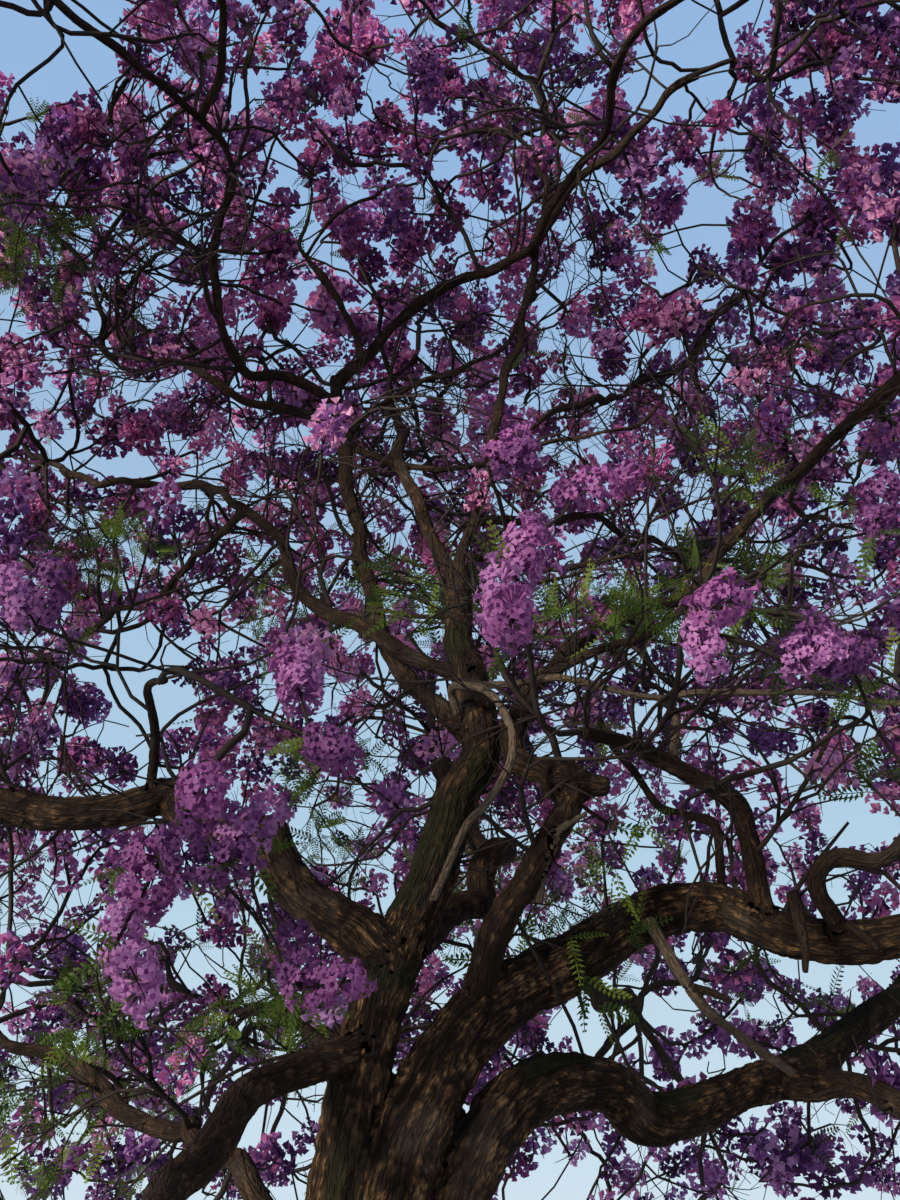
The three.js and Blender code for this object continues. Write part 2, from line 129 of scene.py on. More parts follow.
# Each limb's parent, its foot or how far along the parent it starts, the bends it passes,
# its tip, its radius at foot and tip, and its sway
LIMBS = {
    "stem_left": ("trunk", (-110, 0, 1150), [(90, 30, 2790), (430, 150, 3910), (610, 220, 4450)],
        (460, 300, 5700), (165, 80), 20),
    "stem_right": ("trunk", (60, -60, 1150),
        [(280, 0, 2510), (930, 300, 3240), (1790, 550, 3650), (2620, 200, 3400)],
        (5000, 100, 4450), (180, 62), 25),
    "stem_low": ("trunk", (170, 60, 1150),
        [(600, 100, 2490), (1130, 500, 2750), (1700, 800, 2700), (3190, 1800, 3540)],
        (4500, 2900, 4300), (155, 55), 30),
    "bough_left": ("stem_left", 0.44, [(-310, -50, 3590), (-850, 0, 3960), (-1890, 200, 4070)],
        (-4700, 600, 4900), (112, 50), 60),
    "bough_front_low": ("stem_left", 0.36,
        [(-290, -500, 2540), (-370, -1250, 2130), (-450, -1900, 1900), (-1100, -2900, 2050)],
        (-2600, -3700, 3500), (70, 42), 15),
    "bough_twisted": ("stem_right", 0.27,
        [(660, 0, 3320), (830, -100, 3570), (1040, -100, 4000), (800, 0, 4210)],
        (800, 130, 4480), (70, 70), 0),
    "bough_right_upper": ("bough_twisted", 0.99, [(1180, 400, 5180), (2110, 400, 5800)],
        (3550, 150, 7300), (58, 40), 60),
    "bough_arched": ("stem_right", 0.54,
        [(1940, 150, 3880), (1800, 0, 4060), (1460, -150, 4210)],
        (1080, -450, 4130), (60, 32), 20),
    "bough_loop": ("stem_right", 0.585, [(2260, -80, 3600), (2560, -320, 3720)],
        (3700, -2200, 4500), (42, 32), 60),
    "bough_low_fork": ("stem_low", 0.5, [(2470, 880, 2830), (2700, 350, 2560), (3600, -300, 2700)],
        (4400, -900, 3200), (68, 36), 50),
    "bough_near_right": ("bough_right_upper", 0.12, [(1360, -300, 4750)],
        (1650, -750, 4700), (28, 20), 30),
    "bough_near_left": ("bough_left", 0.3, [(-1000, -450, 4330)],
        (-800, -900, 4150), (26, 18), 30),
    "bough_back_centre": ("stem_left", 0.46, [(580, 800, 3770), (720, 1200, 4230), (500, 2700, 5400)],
        (300, 4300, 6700), (85, 42), 70),
    "bough_back_low": ("stem_right", 0.36, [(1150, 1500, 3600), (1600, 3200, 3950)],
        (2100, 4900, 4300), (75, 45), 40),
    "bough_back": ("stem_left", 0.3, [(-50, 1200, 3000), (-400, 2800, 3600)],
        (-1500, 5000, 4400), (80, 45), 40),
    "bough_back_left": ("stem_left", 0.17, [(-700, 900, 2560), (-1320, 1500, 2880)],
        (-3700, 2900, 4200), (60, 38), 40),
    "bough_left_mid": ("stem_left", 0.82,
        [(-70, 400, 5300), (-640, 800, 6000), (-1260, 1200, 7120), (-2310, 1700, 7660)],
        (-2990, 2000, 8170), (48, 30), 40),
    "bough_upright": ("stem_left", 0.72, [(60, 560, 5300), (-160, 700, 6220), (-270, 800, 7060)],
        (-400, 800, 7860), (60, 50), 25),
    "bough_high_right": ("bough_upright", 0.98,
        [(70, 600, 8390), (1000, 200, 8710), (1770, -300, 9380)],
        (2400, -600, 9850), (46, 27), 40),
    "bough_far_left": ("bough_upright", 0.86,
        [(-680, 820, 7570), (-1210, 800, 7710), (-1740, 800, 8120), (-2220, 750, 8230)],
        (-2400, 700, 8800), (35, 24), 15),
    "bough_high_back": ("stem_left", 0.97, [(160, 600, 6620), (110, 1000, 7600)],
        (-100, 1800, 8900), (46, 27), 20),
    "bough_top": ("stem_left", 0.99, [(720, 300, 6770), (930, 300, 7900), (1210, 200, 9200)],
        (1260, 150, 10000), (38, 25), 25),
    "bough_high_far": ("bough_top", 0.25, [(2100, 1200, 8290)],
        (2900, 1200, 9300), (30, 22), 60),
    "bough_right_back": ("bough_top", 0.1, [(1600, 1400, 6900)],
        (2600, 2700, 7600), (34, 25), 70),
    "bough_front_left": ("bough_upright", 0.93, [
        (-700, 700, 7740), (-980, 450, 7560), (-1150, 150, 7700), (-1290, -100, 8090),
        (-1210, -400, 8270), (-1080, -800, 8440),
    ], (-1900, -1900, 8300), (38, 25), 15),
    "bough_front_right": ("bough_high_right", 0.5, [(1700, -1400, 8700)],
        (2500, -2500, 8400), (30, 22), 60),
    "bough_front": ("bough_front_left", 0.72, [(-950, -1600, 8500), (-750, -2800, 8200)],
        (-300, -4100, 7400), (28, 22), 40),
    "bough_left_front": ("bough_left", 0.55, [(-3100, -500, 4900)],
        (-4000, -1600, 5500), (42, 28), 60),
    "bough_left_back": ("bough_left_mid", 0.5, [(-2000, 2200, 6900)],
        (-3000, 3200, 7000), (34, 25), 60),
    "bough_right_front": ("stem_right", 0.8, [(4300, -900, 4900)],
        (5000, -2000, 5800), (45, 28), 60),
}

# Masses, as in the part: the limb that carries each, its centre, and its half width and height,
# then for those that hang near the trunk how many main sprays they have and their size
MASSES = {
    "mass_right": ("stem_right", (6300, 300, 5100), (2000, 1600)),
    "mass_right_back_low": ("stem_low", (5600, 3800, 4900), (2100, 1700)),
    "mass_left": ("bough_left", (-5900, 700, 5500), (2100, 1700)),
    "mass_front_left_low": ("bough_front_low", (-3600, -4500, 4400), (2100, 1700)),
    "mass_right_upper": ("bough_right_upper", (4700, 500, 8100), (2000, 1600)),
    "mass_near_centre": ("bough_arched", (750, -1250, 4300), (850, 900), 9, 0.45),
    "mass_front_right_low": ("bough_loop", (4300, -3500, 5200), (1900, 1600)),
    "mass_right_low": ("bough_low_fork", (5300, -1500, 3300), (1500, 1000)),
    "mass_near_right": ("bough_near_right", (2150, -1150, 4500), (850, 800), 9, 0.45),
    "mass_near_left": ("bough_near_left", (-600, -1200, 3500), (950, 950), 9, 0.45),
    "mass_back": ("bough_back_centre", (200, 5500, 7800), (2300, 1700)),
    "mass_back_right_low": ("bough_back_low", (2300, 6200, 4900), (2200, 1700)),
    "mass_back_left_low": ("bough_back", (-1900, 6300, 5100), (2200, 1700)),
    "mass_left_back_low": ("bough_back_left", (-4900, 3900, 5000), (2200, 1700)),
    "mass_left_upper": ("bough_left_mid", (-4000, 1500, 8500), (1900, 1600)),
    "mass_high_right": ("bough_high_right", (3200, -1000, 10200), (1700, 1300)),
    "mass_high_left": ("bough_far_left", (-2200, 500, 10000), (1800, 1400)),
    "mass_high_back": ("bough_high_back", (-300, 2700, 10000), (2000, 1500)),
    "mass_top": ("bough_top", (1000, 300, 11000), (1800, 1300)),
    "mass_high_far": ("bough_high_far", (3200, 1900, 10000), (1800, 1400)),
    "mass_back_right": ("bough_right_back", (3400, 3900, 8000), (2100, 1600)),
    "mass_front_left": ("bough_front_left", (-2800, -2000, 8900), (2000, 1500)),
    "mass_front_right": ("bough_front_right", (2900, -3500, 8600), (1900, 1400)),
    "mass_front": ("bough_front", (-200, -5000, 7200), (2100, 1500)),
    "mass_left_front": ("bough_left_front", (-5000, -2100, 6300), (1900, 1500)),
    "mass_left_back": ("bough_left_back", (-3400, 4300, 7500), (2100, 1600)),
    "mass_right_front": ("bough_right_front", (5700, -2500, 6700), (1800, 1400)),
}

# The source's rule for the main sprays of a mass
FIRST_SEED = 100
MAIN_SPRAYS = 18
PLACES_TRIED = 24
PARENTS_TRIED = 12
INNER_SHARE = 0.35
OUTER_SHARE = 0.9
SPRAY_GAP = 1.05
SPRAY_ROOM = 0.37
CELL_MARGIN = 0.04
LIMB_MARGIN = 0.045
BALL_STEP = 0.12
TWIG_ROOM = 0.03
WAY_TESTS = 6
STEM_LENGTH = 0.26
STEM_SUNK = 0.12
PATH_COST = 0.35
CLEARANCE = 0.0003

# The same rule carried finer: more sprays to a mass, each with a smaller room of its own
FINE_SPRAYS = 96
FINE_GAP = 0.28
FINE_ROOM = 0.12
BOX_MARGIN = 0.1
TWIGLET_SHARE = 0.08
NODE_STEP = 0.34
CROOK = 0.06
TWIG_TIP = 0.0085
TWIG_SHARE = 0.46
STEM_THICK = 0.92
STOUT = 0.026
SLENDER = 0.013
TWIG_WOBBLE = 0.009
TWIGLET_LENGTH = (0.2, 0.7)
TWIGLET_THICK = 0.008
TWIGLET_RISE = (0, 0, 0.25)

# How far side twigs and flower heads follow the twig that they grow from, and stray from it
ALONG = 0.7
AWRY = 0.7

# Blossom is on each mass's outer side; on its inner side only this share of the sprays flowers
CROWN_MIDDLE = (0.4, 0.5, 3.5)
INNER_FROM = -0.12
INNER_BLOOM = 0.2
BETWEEN_BLOOM = 0.65

# Bare side branches of the limbs, which fork again and again
BRANCH_SEED = 900
BRANCH_EVERY = 0.42
BRANCH_START = 0.22
STEM_BRANCH_START = 0.55
BRANCH_LENGTH = (0.8, 2.2)
BRANCH_THICK = 0.0095
BRANCH_ALONG = 0.6
BRANCH_RISE = (0, 0, 0.3)
TWIG_TO_LIMB = 0.7
BRANCH_STEP = 0.13
BRANCH_CURL = 0.22
OUTWARD_PULL = 0.02
BRANCH_LOWEST = 2.1
BRANCH_TAPER = 0.4
CURL_KEPT = 0.6
STOPPED_BY_SKY = 0.5
FORK_SHARE = 0.45
FORK_TURN = (0.6, 1.3)
CHILD_LENGTH = (0.4, 0.68)
CHILD_THICK = 0.72
SHORTEST = 0.3
TWIG_END = 0.0024

# Where the picture shows green leaves, as ellipses like those of the open sky
GREENS = (
    (400, 605, 85, 50), (290, 620, 50, 60), (650, 870, 70, 50), (600, 620, 60, 40),
    (720, 590, 70, 35), (250, 1010, 110, 80), (90, 1090, 120, 110), (880, 740, 50, 60),
    (560, 960, 90, 60), (30, 240, 50, 60), (110, 560, 70, 50), (330, 800, 50, 60),
    (180, 860, 80, 60), (470, 900, 60, 60), (780, 460, 60, 40), (780, 1000, 80, 50),
)
GREEN_SHARE = 0.5

# Elsewhere, the share of a mass's sprays that have leaves, and of all the others
LEAFY = {
    "mass_left_back_low": 0.4, "mass_left": 0.15, "mass_front_left_low": 0.3,
    "mass_back_left_low": 0.25, "mass_near_centre": 0.4, "mass_near_left": 0.4,
    "mass_near_right": 0.3, "mass_right_low": 0.15, "between": 0.15,
}
LEAFY_ELSEWHERE = 0.07

# Flower heads: how many a spray has and their size, in a mass, between the masses and near
HEADS_IN_MASS = (1, 2, 3, 4)
HEADS_CHANCES = (0.2, 0.3, 0.3, 0.2)
HEADS_BETWEEN = (1, 3)
HEADS_NEAR = 2
HEAD_SIZES = {"mass": 1.1, "between": 0.8, "near": 0.85}
SIZE_RANGE = (0.8, 1.2)
HEAD_RISE = (0, 0, 0.5)
HEAD_AWRY = 0.55
STALK_SHARE = 0.8
STALK_RADII = (0.006, 0.002)
BARE_LENGTH = (0.3, 0.6)
BARE_THICK = 0.005
LEAVES_IN_SPRAY = (3, 6)
LEAF_SIZES = (0.65, 1)
LEAF_ALONG = 0.5
TINT_CHANCES = (0.3, 0.4, 0.3)
LEAF_CHANCES = (0.25, 0.45, 0.3)

# Clumps of blossom that hang near the viewer, in the masses that carry them
CLUMPS = {
    "mass_near_centre": [
        (570, -1890, 4560), (670, -1440, 4000), (700, -1500, 4220), (1000, -1250, 4900),
    ],
    "mass_near_right": [
        (1380, -1560, 4010), (1700, -1550, 3850), (1880, -1500, 3900), (2300, -1300, 4700),
    ],
    "mass_near_left": [
        (-90, -1260, 3650), (-150, -1200, 3850), (-480, -1250, 3480), (-630, -1160, 3200),
        (-500, -1200, 3130), (-340, -1110, 3260), (-760, -1090, 2920), (-100, -910, 2800),
        (-1080, -1700, 3890),
    ],
}

# Where the picture shows open sky, as ellipses in its 900 x 1200 frame: middle and half size
OPENINGS = (
    (30, 40, 100, 80), (700, 20, 75, 45), (680, 80, 60, 40), (640, 110, 30, 40),
    (275, 170, 28, 28), (465, 175, 25, 25), (875, 125, 30, 40), (720, 220, 45, 40),
    (880, 265, 40, 40), (675, 270, 25, 30), (100, 470, 45, 25), (140, 690, 60, 70),
    (870, 820, 45, 35), (165, 920, 30, 35), (225, 970, 30, 30), (275, 1130, 35, 40),
    (560, 1185, 40, 20), (620, 1020, 70, 40), (840, 970, 60, 30), (740, 1080, 40, 30),
)

# Sprays between the masses, on twigs from the limbs themselves
BETWEEN_SPRAYS = 560
BETWEEN_NEAR = 0.3
BETWEEN_BEHIND = 0.2
BETWEEN_FAR = 1.5
BETWEEN_LOWEST = 2.6
BETWEEN_GAP = 0.3
BETWEEN_START = 0.3
BETWEEN_END = 0.97
BETWEEN_STEP = 0.22
BETWEEN_SPREAD = 0.6
OUT_OF_MASSES = 0.75
SIDE_TWIG_THICK = 0.5
BETWEEN_SEED = 500
FILL_SPRAYS = 270
FILL_AWAY = (8.0, 15.0)
FILL_FAR = 2.6
FILL_LOWEST = 2.1
FREE_ROUND_EYE = 5.2
TWIGLESS_ROUND_EYE = 4.6
LOW_DROOP = 0.8

# How far the wood and twigs stray from their smooth lines, away from the crotch of the stems
STRAY = 0.085
STRAY_CENTRE = (0.4, 0.0, 3.0)
STRAY_FROM = 1.2
STRAY_FULL = 3.7


# Camera, light and floor

def place_camera():
    data = bpy.data.cameras.new("camera")
    data.lens = LENS
    data.sensor_width = SENSOR
    camera = bpy.data.objects.new("camera", data)
    camera.location = EYE
    camera.rotation_euler = (math.pi / 2 + LOOK_UP, 0, 0)
    bpy.context.scene.collection.objects.link(camera)
    bpy.context.scene.camera = camera


def soft_light(name, place, aim, wide, strength, colour):
    """A far lamp that lights the whole tree evenly from one side, as wide as it looks from there"""
    data = bpy.data.lights.new(name, "SUN")
    data.angle = math.radians(wide)
    data.energy = strength
    data.color = colour
    light = bpy.data.objects.new(name, data)
    light.location = place
    light.rotation_euler = (Vector(aim) - Vector(place)).to_track_quat("-Z", "Y").to_euler()
    bpy.context.scene.collection.objects.link(light)


def light_studio():
    """A sky that the camera sees in full and that lights the tree with a part of its strength"""
    world = bpy.data.worlds.new("studio")
    bpy.context.scene.world = world
    world.use_nodes = True
    sky = Nodes(world.node_tree)
    heading = Value(sky, sky.add("ShaderNodeTexCoord").outputs["Generated"])
    height = sky.add("ShaderNodeSeparateXYZ", None, {"Vector": heading}).outputs["Z"]
    seen = Value(sky, sky.add("ShaderNodeLightPath").outputs["Is Camera Ray"])
    background = world.node_tree.nodes["Background"]
    sky.give(background.inputs["Color"], sky.ramp(Value(sky, height), SKY))
    sky.give(background.inputs["Strength"], seen * (1 - SKY_LIGHT) + SKY_LIGHT)
    bpy.context.scene.view_settings.view_transform = "Standard"
    for name, lamp in LAMPS.items():
        soft_light(name, *lamp)


# Shader maths: a number or colour in a material, joined by Python's own operators

class Value:
    def __init__(self, finish, socket):
        self.finish = finish
        self.socket = socket

    def joined(self, kind, *others):
        node = self.finish.add("ShaderNodeMath", {"operation": kind}, [self, *others])
        return Value(self.finish, node.outputs[0])

    def __add__(self, other):
        return self.joined("ADD", other)

    def __mul__(self, other):
        return self.joined("MULTIPLY", other)

    def __sub__(self, other):
        return self.joined("SUBTRACT", other)

    def __rsub__(self, other):
        return (self * -1) + other

    __radd__ = __add__
    __rmul__ = __mul__

    def between(self, low, high):
        """0 below low, 1 above high, and smooth from one to the other"""
        node = self.finish.add(
            "ShaderNodeMapRange", {"interpolation_type": "SMOOTHSTEP"},
            {"Value": self, "From Min": low, "From Max": high},
        )
        return Value(self.finish, node.outputs["Result"])


class Nodes:
    """A node tree in the making"""

    def __init__(self, tree):
        self.tree = tree

    def add(self, kind, settings=None, inputs=None):
        node = self.tree.nodes.new(kind)
        for key, value in (settings or {}).items():
            if key == "stops":
                self.set_stops(node.color_ramp, value)
            else:
                setattr(node, key, value)
        pairs = inputs.items() if isinstance(inputs, dict) else enumerate(inputs or [])
        for key, value in pairs:
            self.give(node.inputs[key], value)
        return node

    def give(self, socket, value):
        if isinstance(value, Value):
            self.tree.links.new(value.socket, socket)
        else:
            socket.default_value = value

    def set_stops(self, ramp, stops):
        while len(ramp.elements) < len(stops):
            ramp.elements.new(1)
        for element, (place, colour) in zip(ramp.elements, stops):
            element.position = place
            element.color = (*colour, 1)

    def attribute(self, name, output="Fac"):
        node = self.add("ShaderNodeAttribute", {"attribute_name": name})
        return Value(self, node.outputs[output])

    def object_place(self):
        return Value(self, self.add("ShaderNodeTexCoord").outputs["Object"])

    def stretched(self, place, scale):
        node = self.add("ShaderNodeMapping", None, {"Vector": place, "Scale": scale})
        return Value(self, node.outputs["Vector"])

    def noise(self, place, scale, detail=4, roughness=0.55):
        inputs = {"Vector": place, "Scale": scale, "Detail": detail, "Roughness": roughness}
        return Value(self, self.add("ShaderNodeTexNoise", None, inputs).outputs["Fac"])

    def ramp(self, value, stops):
        node = self.add("ShaderNodeValToRGB", {"stops": stops}, {"Fac": value})
        return Value(self, node.outputs["Color"])

    def blend(self, mask, one, two):
        """Colour one where the mask is 0, colour two where it is 1"""
        node = self.add("ShaderNodeMix", {"data_type": "RGBA"})
        for socket, value in zip((node.inputs[0], node.inputs[6], node.inputs[7]), (mask, one, two)):
            self.give(socket, (*value, 1) if isinstance(value, tuple) else value)
        return Value(self, node.outputs[2])

    def bump(self, height, distance, strength=1):
        inputs = {"Height": height, "Distance": distance, "Strength": strength}
        node = self.add("ShaderNodeBump", None, inputs)
        return Value(self, node.outputs["Normal"])


class Finish(Nodes):
    """A material in the making, with its shader's sockets by name"""

    def __init__(self, name):
        self.material = bpy.data.materials.new(name)
        self.material.use_nodes = True
        super().__init__(self.material.node_tree)
        self.shader = self.tree.nodes["Principled BSDF"]

    def set(self, **inputs):
        for name, value in inputs.items():
            self.give(self.shader.inputs[name.replace("_", " ")], value)


# Smooth noise between -1 and 1 at an array of points

def rough(points, seed=0):
    base = np.floor(points).astype(np.int64)
    part = points - base
    ease = part * part * (3 - 2 * part)
    total = np.zeros(len(points))
    for corner in itertools.product((0, 1), repeat=3):
        key = ((base + corner) * (73856093, 19349663, 83492791)).sum(axis=1) + seed * 83476541
        key = ((key ^ (key >> 13)) * 1274126177) & 0xFFFFFFFF
        key = ((key ^ (key >> 15)) * 2246822519) & 0xFFFFFFFF
        value = ((key ^ (key >> 16)) & 0xFFFF) / 32767.5 - 1
        weight = np.where(np.array(corner) == 1, ease, 1 - ease).prod(axis=1)
        total += weight * value
    return total


def strayed(points):
    """Points moved aside by a smooth field, so that straight limbs and twigs grow crooked"""
    away = np.linalg.norm(points - STRAY_CENTRE, axis=1)
    amount = STRAY * np.clip((away - STRAY_FROM) / (STRAY_FULL - STRAY_FROM), 0, 1)
    field = np.stack([
        rough(points * 1.4, seed) + 0.45 * rough(points * 4.1, seed + 3) for seed in (31, 32, 33)
    ], axis=1)
    return points + field * amount[:, None]


def unit(vectors):
    return vectors / np.maximum(np.linalg.norm(vectors, axis=-1, keepdims=True), 1e-9)


# The limbs' curves, by the part's own rule

def through(points, shares):
    """Places on the smooth curve through points, at shares of the way from point to point"""
    ends = np.vstack([2 * points[0] - points[1], points, 2 * points[-1] - points[-2]])
    last = len(points) - 1
    place = np.asarray(shares, float) * last
    first = np.minimum(place.astype(int), last - 1)
    w = (place - first)[:, None]
    before, here, there, after = (ends[first + k] for k in range(4))
    out = 0.5 * (there - before)
    into = 0.5 * (after - here)
    cubic = 2 * here - 2 * there + out + into
    square = -3 * here + 3 * there - 2 * out - into
    return here + out * w + square * w**2 + cubic * w**3


def smooth_line(points, radii, steps):
    """A smooth way through points and its radii, with some steps between each pair"""
    shares = np.linspace(0, 1, steps * (len(points) - 1) + 1)
    return through(points, shares), np.interp(shares * (len(radii) - 1), np.arange(len(radii)), radii)


class Limb:
    def __init__(self, number, start, bends, tip, radius, sway):
        self.points = np.array([start, *bends, tip], float)
        self.foot, self.tip = radius
        self.turn = SWAY_TURN * number
        shares = np.linspace(0, 1, CURVE_MARKS + 1)
        straight = np.linalg.norm(np.diff(through(self.points, shares), axis=0), axis=1).sum()
        self.waves = max(1, int(straight / SWAY_WAVE + 0.5))
        self.sway = sway
        steps = np.linalg.norm(np.diff(self.swayed(shares), axis=0), axis=1)
        self.marks = np.concatenate([[0], np.cumsum(steps)])
        self.length = self.marks[-1]

    def swayed(self, shares):
        shares = np.asarray(shares, float)
        swing = 2 * math.pi * self.waves * shares + self.turn
        size = self.sway * np.sin(math.pi * shares)
        sway = np.stack([np.sin(swing), np.sin(0.7 * swing + 2), np.cos(swing)], axis=1)
        return through(self.points, shares) + size[:, None] * sway

    def at(self, shares):
        """Points at shares of the limb's length"""
        steps = np.linspace(0, 1, CURVE_MARKS + 1)
        return self.swayed(np.interp(np.asarray(shares) * self.length, self.marks, steps))

    def radius(self, shares):
        shares = np.asarray(shares, float)
        collar = COLLAR_SWELL * self.foot * np.exp(-shares * self.length / (COLLAR_REACH * self.foot))
        return self.foot + (self.tip - self.foot) * shares + collar

    def heading(self):
        ends = self.swayed([0.9999, 1])
        return unit(ends[1] - ends[0])


def metres(values):
    return np.array(values, float) * MM


def grow_limbs():
    limbs = {}
    for number, (name, row) in enumerate(LIMBS.items()):
        parent, foot, bends, tip, radius, sway = row
        start = metres(foot) if isinstance(foot, tuple) else limbs[parent].at([foot])[0]
        limbs[name] = Limb(number, start, metres(bends), metres(tip), metres(radius), sway * MM)
    return limbs


# Trunk and limbs: one closed mesh of blended tubes, with the bark's relief

def deselect():
    bpy.ops.object.select_all(action="DESELECT")


def select_only(*pieces):
    deselect()
    for piece in pieces:
        piece.select_set(True)
    bpy.context.view_layer.objects.active = pieces[0]


def trunk_radius(height, angle):
    lobes = 1 + LOBE_DEPTH * np.cos(FLARE_LOBES * angle + LOBE_TURN)
    flare = FLARE_REACH * np.exp(-height / FLARE_HEIGHT) * lobes
    share = height / TRUNK_HEIGHT
    over = np.maximum(0, share - CUP_FROM) / (1 - CUP_FROM)
    return (1 + flare - TRUNK_TAPER * share) * (1 - (1 - CUP_WIDTH) * over**2)


def trunk_points(heights, angles):
    """Points of the trunk's side at matching arrays of heights and angles"""
    wide = trunk_radius(np.maximum(heights, 0), angles)
    share = (np.maximum(heights, 0) / TRUNK_HEIGHT) ** 0.8
    x = TRUNK_HALF[0] * wide * np.cos(angles) + TRUNK_LEAN[0] * share
    y = TRUNK_HALF[1] * wide * np.sin(angles) + TRUNK_LEAN[1] * share
    return np.stack([x, y, heights], axis=-1)


def model_trunk():
    """A cylinder cut into rings, each ring moved out to the flare's lobes and in to the crotch"""
    deselect()
    bpy.ops.mesh.primitive_cylinder_add(vertices=TRUNK_SIDES, radius=1, depth=1, location=(0, 0, 0.5))
    trunk = bpy.context.object
    bpy.ops.object.transform_apply(location=True)
    bpy.ops.object.mode_set(mode="EDIT")
    bpy.ops.mesh.select_all(action="SELECT")
    bpy.ops.mesh.subdivide(number_cuts=TRUNK_CUTS)
    bpy.ops.object.mode_set(mode="OBJECT")
    for vertex in trunk.data.vertices:
        x, y, share = vertex.co
        height = share * (TRUNK_HEIGHT + TRUNK_BELOW) - TRUNK_BELOW
        edge = trunk_points(np.array([height]), np.array([math.atan2(y, x)]))[0]
        middle = np.array([TRUNK_LEAN[0] * share, TRUNK_LEAN[1] * share, height])
        vertex.co = middle + (edge - middle) * min(1, math.hypot(x, y))
    return trunk


def model_tube(name, points, radii):
    """A round curve through points, with a radius at each, made a mesh"""
    data = bpy.data.curves.new(name, "CURVE")
    data.dimensions = "3D"
    data.bevel_depth = 1
    data.bevel_resolution = 5
    data.use_fill_caps = True
    line = data.splines.new("POLY")
    line.points.add(len(points) - 1)
    line.points.foreach_set("co", np.column_stack([points, np.ones(len(points))]).ravel())
    line.points.foreach_set("radius", radii)
    tube = bpy.data.objects.new(name, data)
    bpy.context.scene.collection.objects.link(tube)
    select_only(tube)
    bpy.ops.object.convert(target="MESH")
    return bpy.context.object


# The skin's fineness, and the steps of the tubes that it is drawn over
VOXEL = 0.0155
RING_STEP = 0.03
SNAG_STEPS = 6
RING_SIDES = 12

# Small limbs, stubs and snags of the stems: the line each follows and its radius at both ends
SNAGS = {
    "hanging": ([
        (1450, 380, 3520), (1490, 300, 3370), (1560, 250, 3190), (1660, 300, 3060),
        (1850, 500, 2990), (2160, 800, 2860),
    ], (32, 20)),
    "hanging_stub": ([(1580, 260, 3160), (1690, 200, 3100), (1750, 150, 3050)], (20, 13)),
    "arched_stub": ([
        (2110, 90, 3560), (2070, -50, 3340), (2070, -50, 3230), (2050, -50, 3120),
    ], (34, 14)),
    "pale": ([
        (370, -60, 3450), (520, -300, 3710), (620, -350, 3810), (730, -380, 3990),
        (750, -360, 4180), (690, -300, 4390), (590, -200, 4530), (470, 60, 4670), (500, 160, 4560),
    ], (18, 24)),
    "snag": ([(860, -60, 3440), (890, -110, 3560), (950, -170, 3730), (1030, -190, 3790),
        (1110, -210, 3830)], (24, 13)),
    "level": ([
        (1580, -40, 4130), (1590, -200, 4370), (1520, -300, 4420), (1810, -300, 4450),
        (2030, -300, 4450), (2360, -300, 4440), (2720, -300, 4390), (3300, -300, 4500),
    ], (22, 12)),
    "level_left": ([
        (1520, -300, 4420), (1400, -300, 4430), (1250, -250, 4500), (1020, -200, 4580),
        (820, -100, 4610), (600, 60, 4700),
    ], (17, 20)),
    "behind": ([
        (1300, 380, 4700), (1390, 500, 4560), (1530, 800, 4570), (1670, 900, 4400),
        (1810, 900, 4320), (1930, 700, 4130), (1900, 560, 3740),
    ], (24, 28)),
    "dead_end": ([(2360, 150, 3430), (2360, -50, 3290), (2380, -150, 3180)], (22, 9)),
    "burl_end": ([(1000, -100, 4020), (1120, -110, 4020), (1235, -130, 4005)], (80, 42)),
    "upper_right": ([
        (-300, 800, 7210), (-160, 750, 7400), (-30, 700, 7530), (210, 600, 7610), (450, 500, 7620),
        (740, 400, 7770), (970, 300, 8030), (1100, 300, 8360),
    ], (30, 14)),
    "middle_right": ([
        (-240, 800, 7210), (-30, 750, 7030), (170, 700, 6890), (400, 650, 6800), (690, 600, 6820),
        (960, 500, 6840), (1170, 400, 6890), (1590, 200, 6810), (1910, 100, 6980),
    ], (30, 12)),
    "upper_left": ([
        (-180, 600, 7890), (-360, 550, 8310), (-530, 500, 8610), (-650, 450, 8900),
        (-760, 400, 9110), (-690, 300, 9440), (-660, 200, 9780), (-480, 100, 10240),
    ], (28, 10)),
    "upper_fork": ([
        (-700, 420, 8980), (-460, 300, 9290), (-100, 200, 9430), (120, 100, 9760),
    ], (17, 9)),
    "centre_right": ([
        (530, 450, 5910), (870, 400, 5830), (1100, 300, 5710), (1280, 200, 5690), (1570, 0, 5670),
    ], (26, 12)),
}

# Limbs with moss on their upper side, and dead limbs worn pale
MOSSY = ("stem_low", "stem_left")
PALE = ("pale", "level", "level_left", "hanging", "snag")

# The burl's middle and half size
BURL = (1.02, -0.11, 4.03)
BURL_SIZE = (0.135, 0.115, 0.12)

# The bark's relief: shares of the limb's radius, with the least and the most in metres
FURROW_SHARE = 0.15
FURROW_DEPTH = (0.003, 0.026)
LUMP_SHARE = 0.11
LUMP_SIZE = (0.003, 0.016)
BURL_SPREAD = 0.03
BURL_LUMPS = 0.026
YOUNG_RADIUS = 0.025
OLD_RADIUS = 0.125
LIMB_OFFSET = 3.7
FACING_SLOPE = 4
FACING_LEAST = 2.6
MEND_MOST = 0.4
# How much of stem_left is covered all round in near-black green, which is its moss and also painted shade
MOSS_AND_SHADE_COVERED = 0.7
MOSS_ELSEWHERE = 0.25


def snag_lines():
    """Each snag's name, with its smooth line and its radii"""
    for name, (points, (foot, tip)) in SNAGS.items():
        yield name, *smooth_line(metres(points), np.linspace(foot, tip, len(points)) * MM, SNAG_STEPS)


def limb_rings(limb):
    """Shares of a limb's length at even steps, with its points and radii there"""
    count = max(4, round(limb.length / RING_STEP))
    shares = np.linspace(0, 1, count + 1)
    return shares, limb.at(shares), limb.radius(shares)


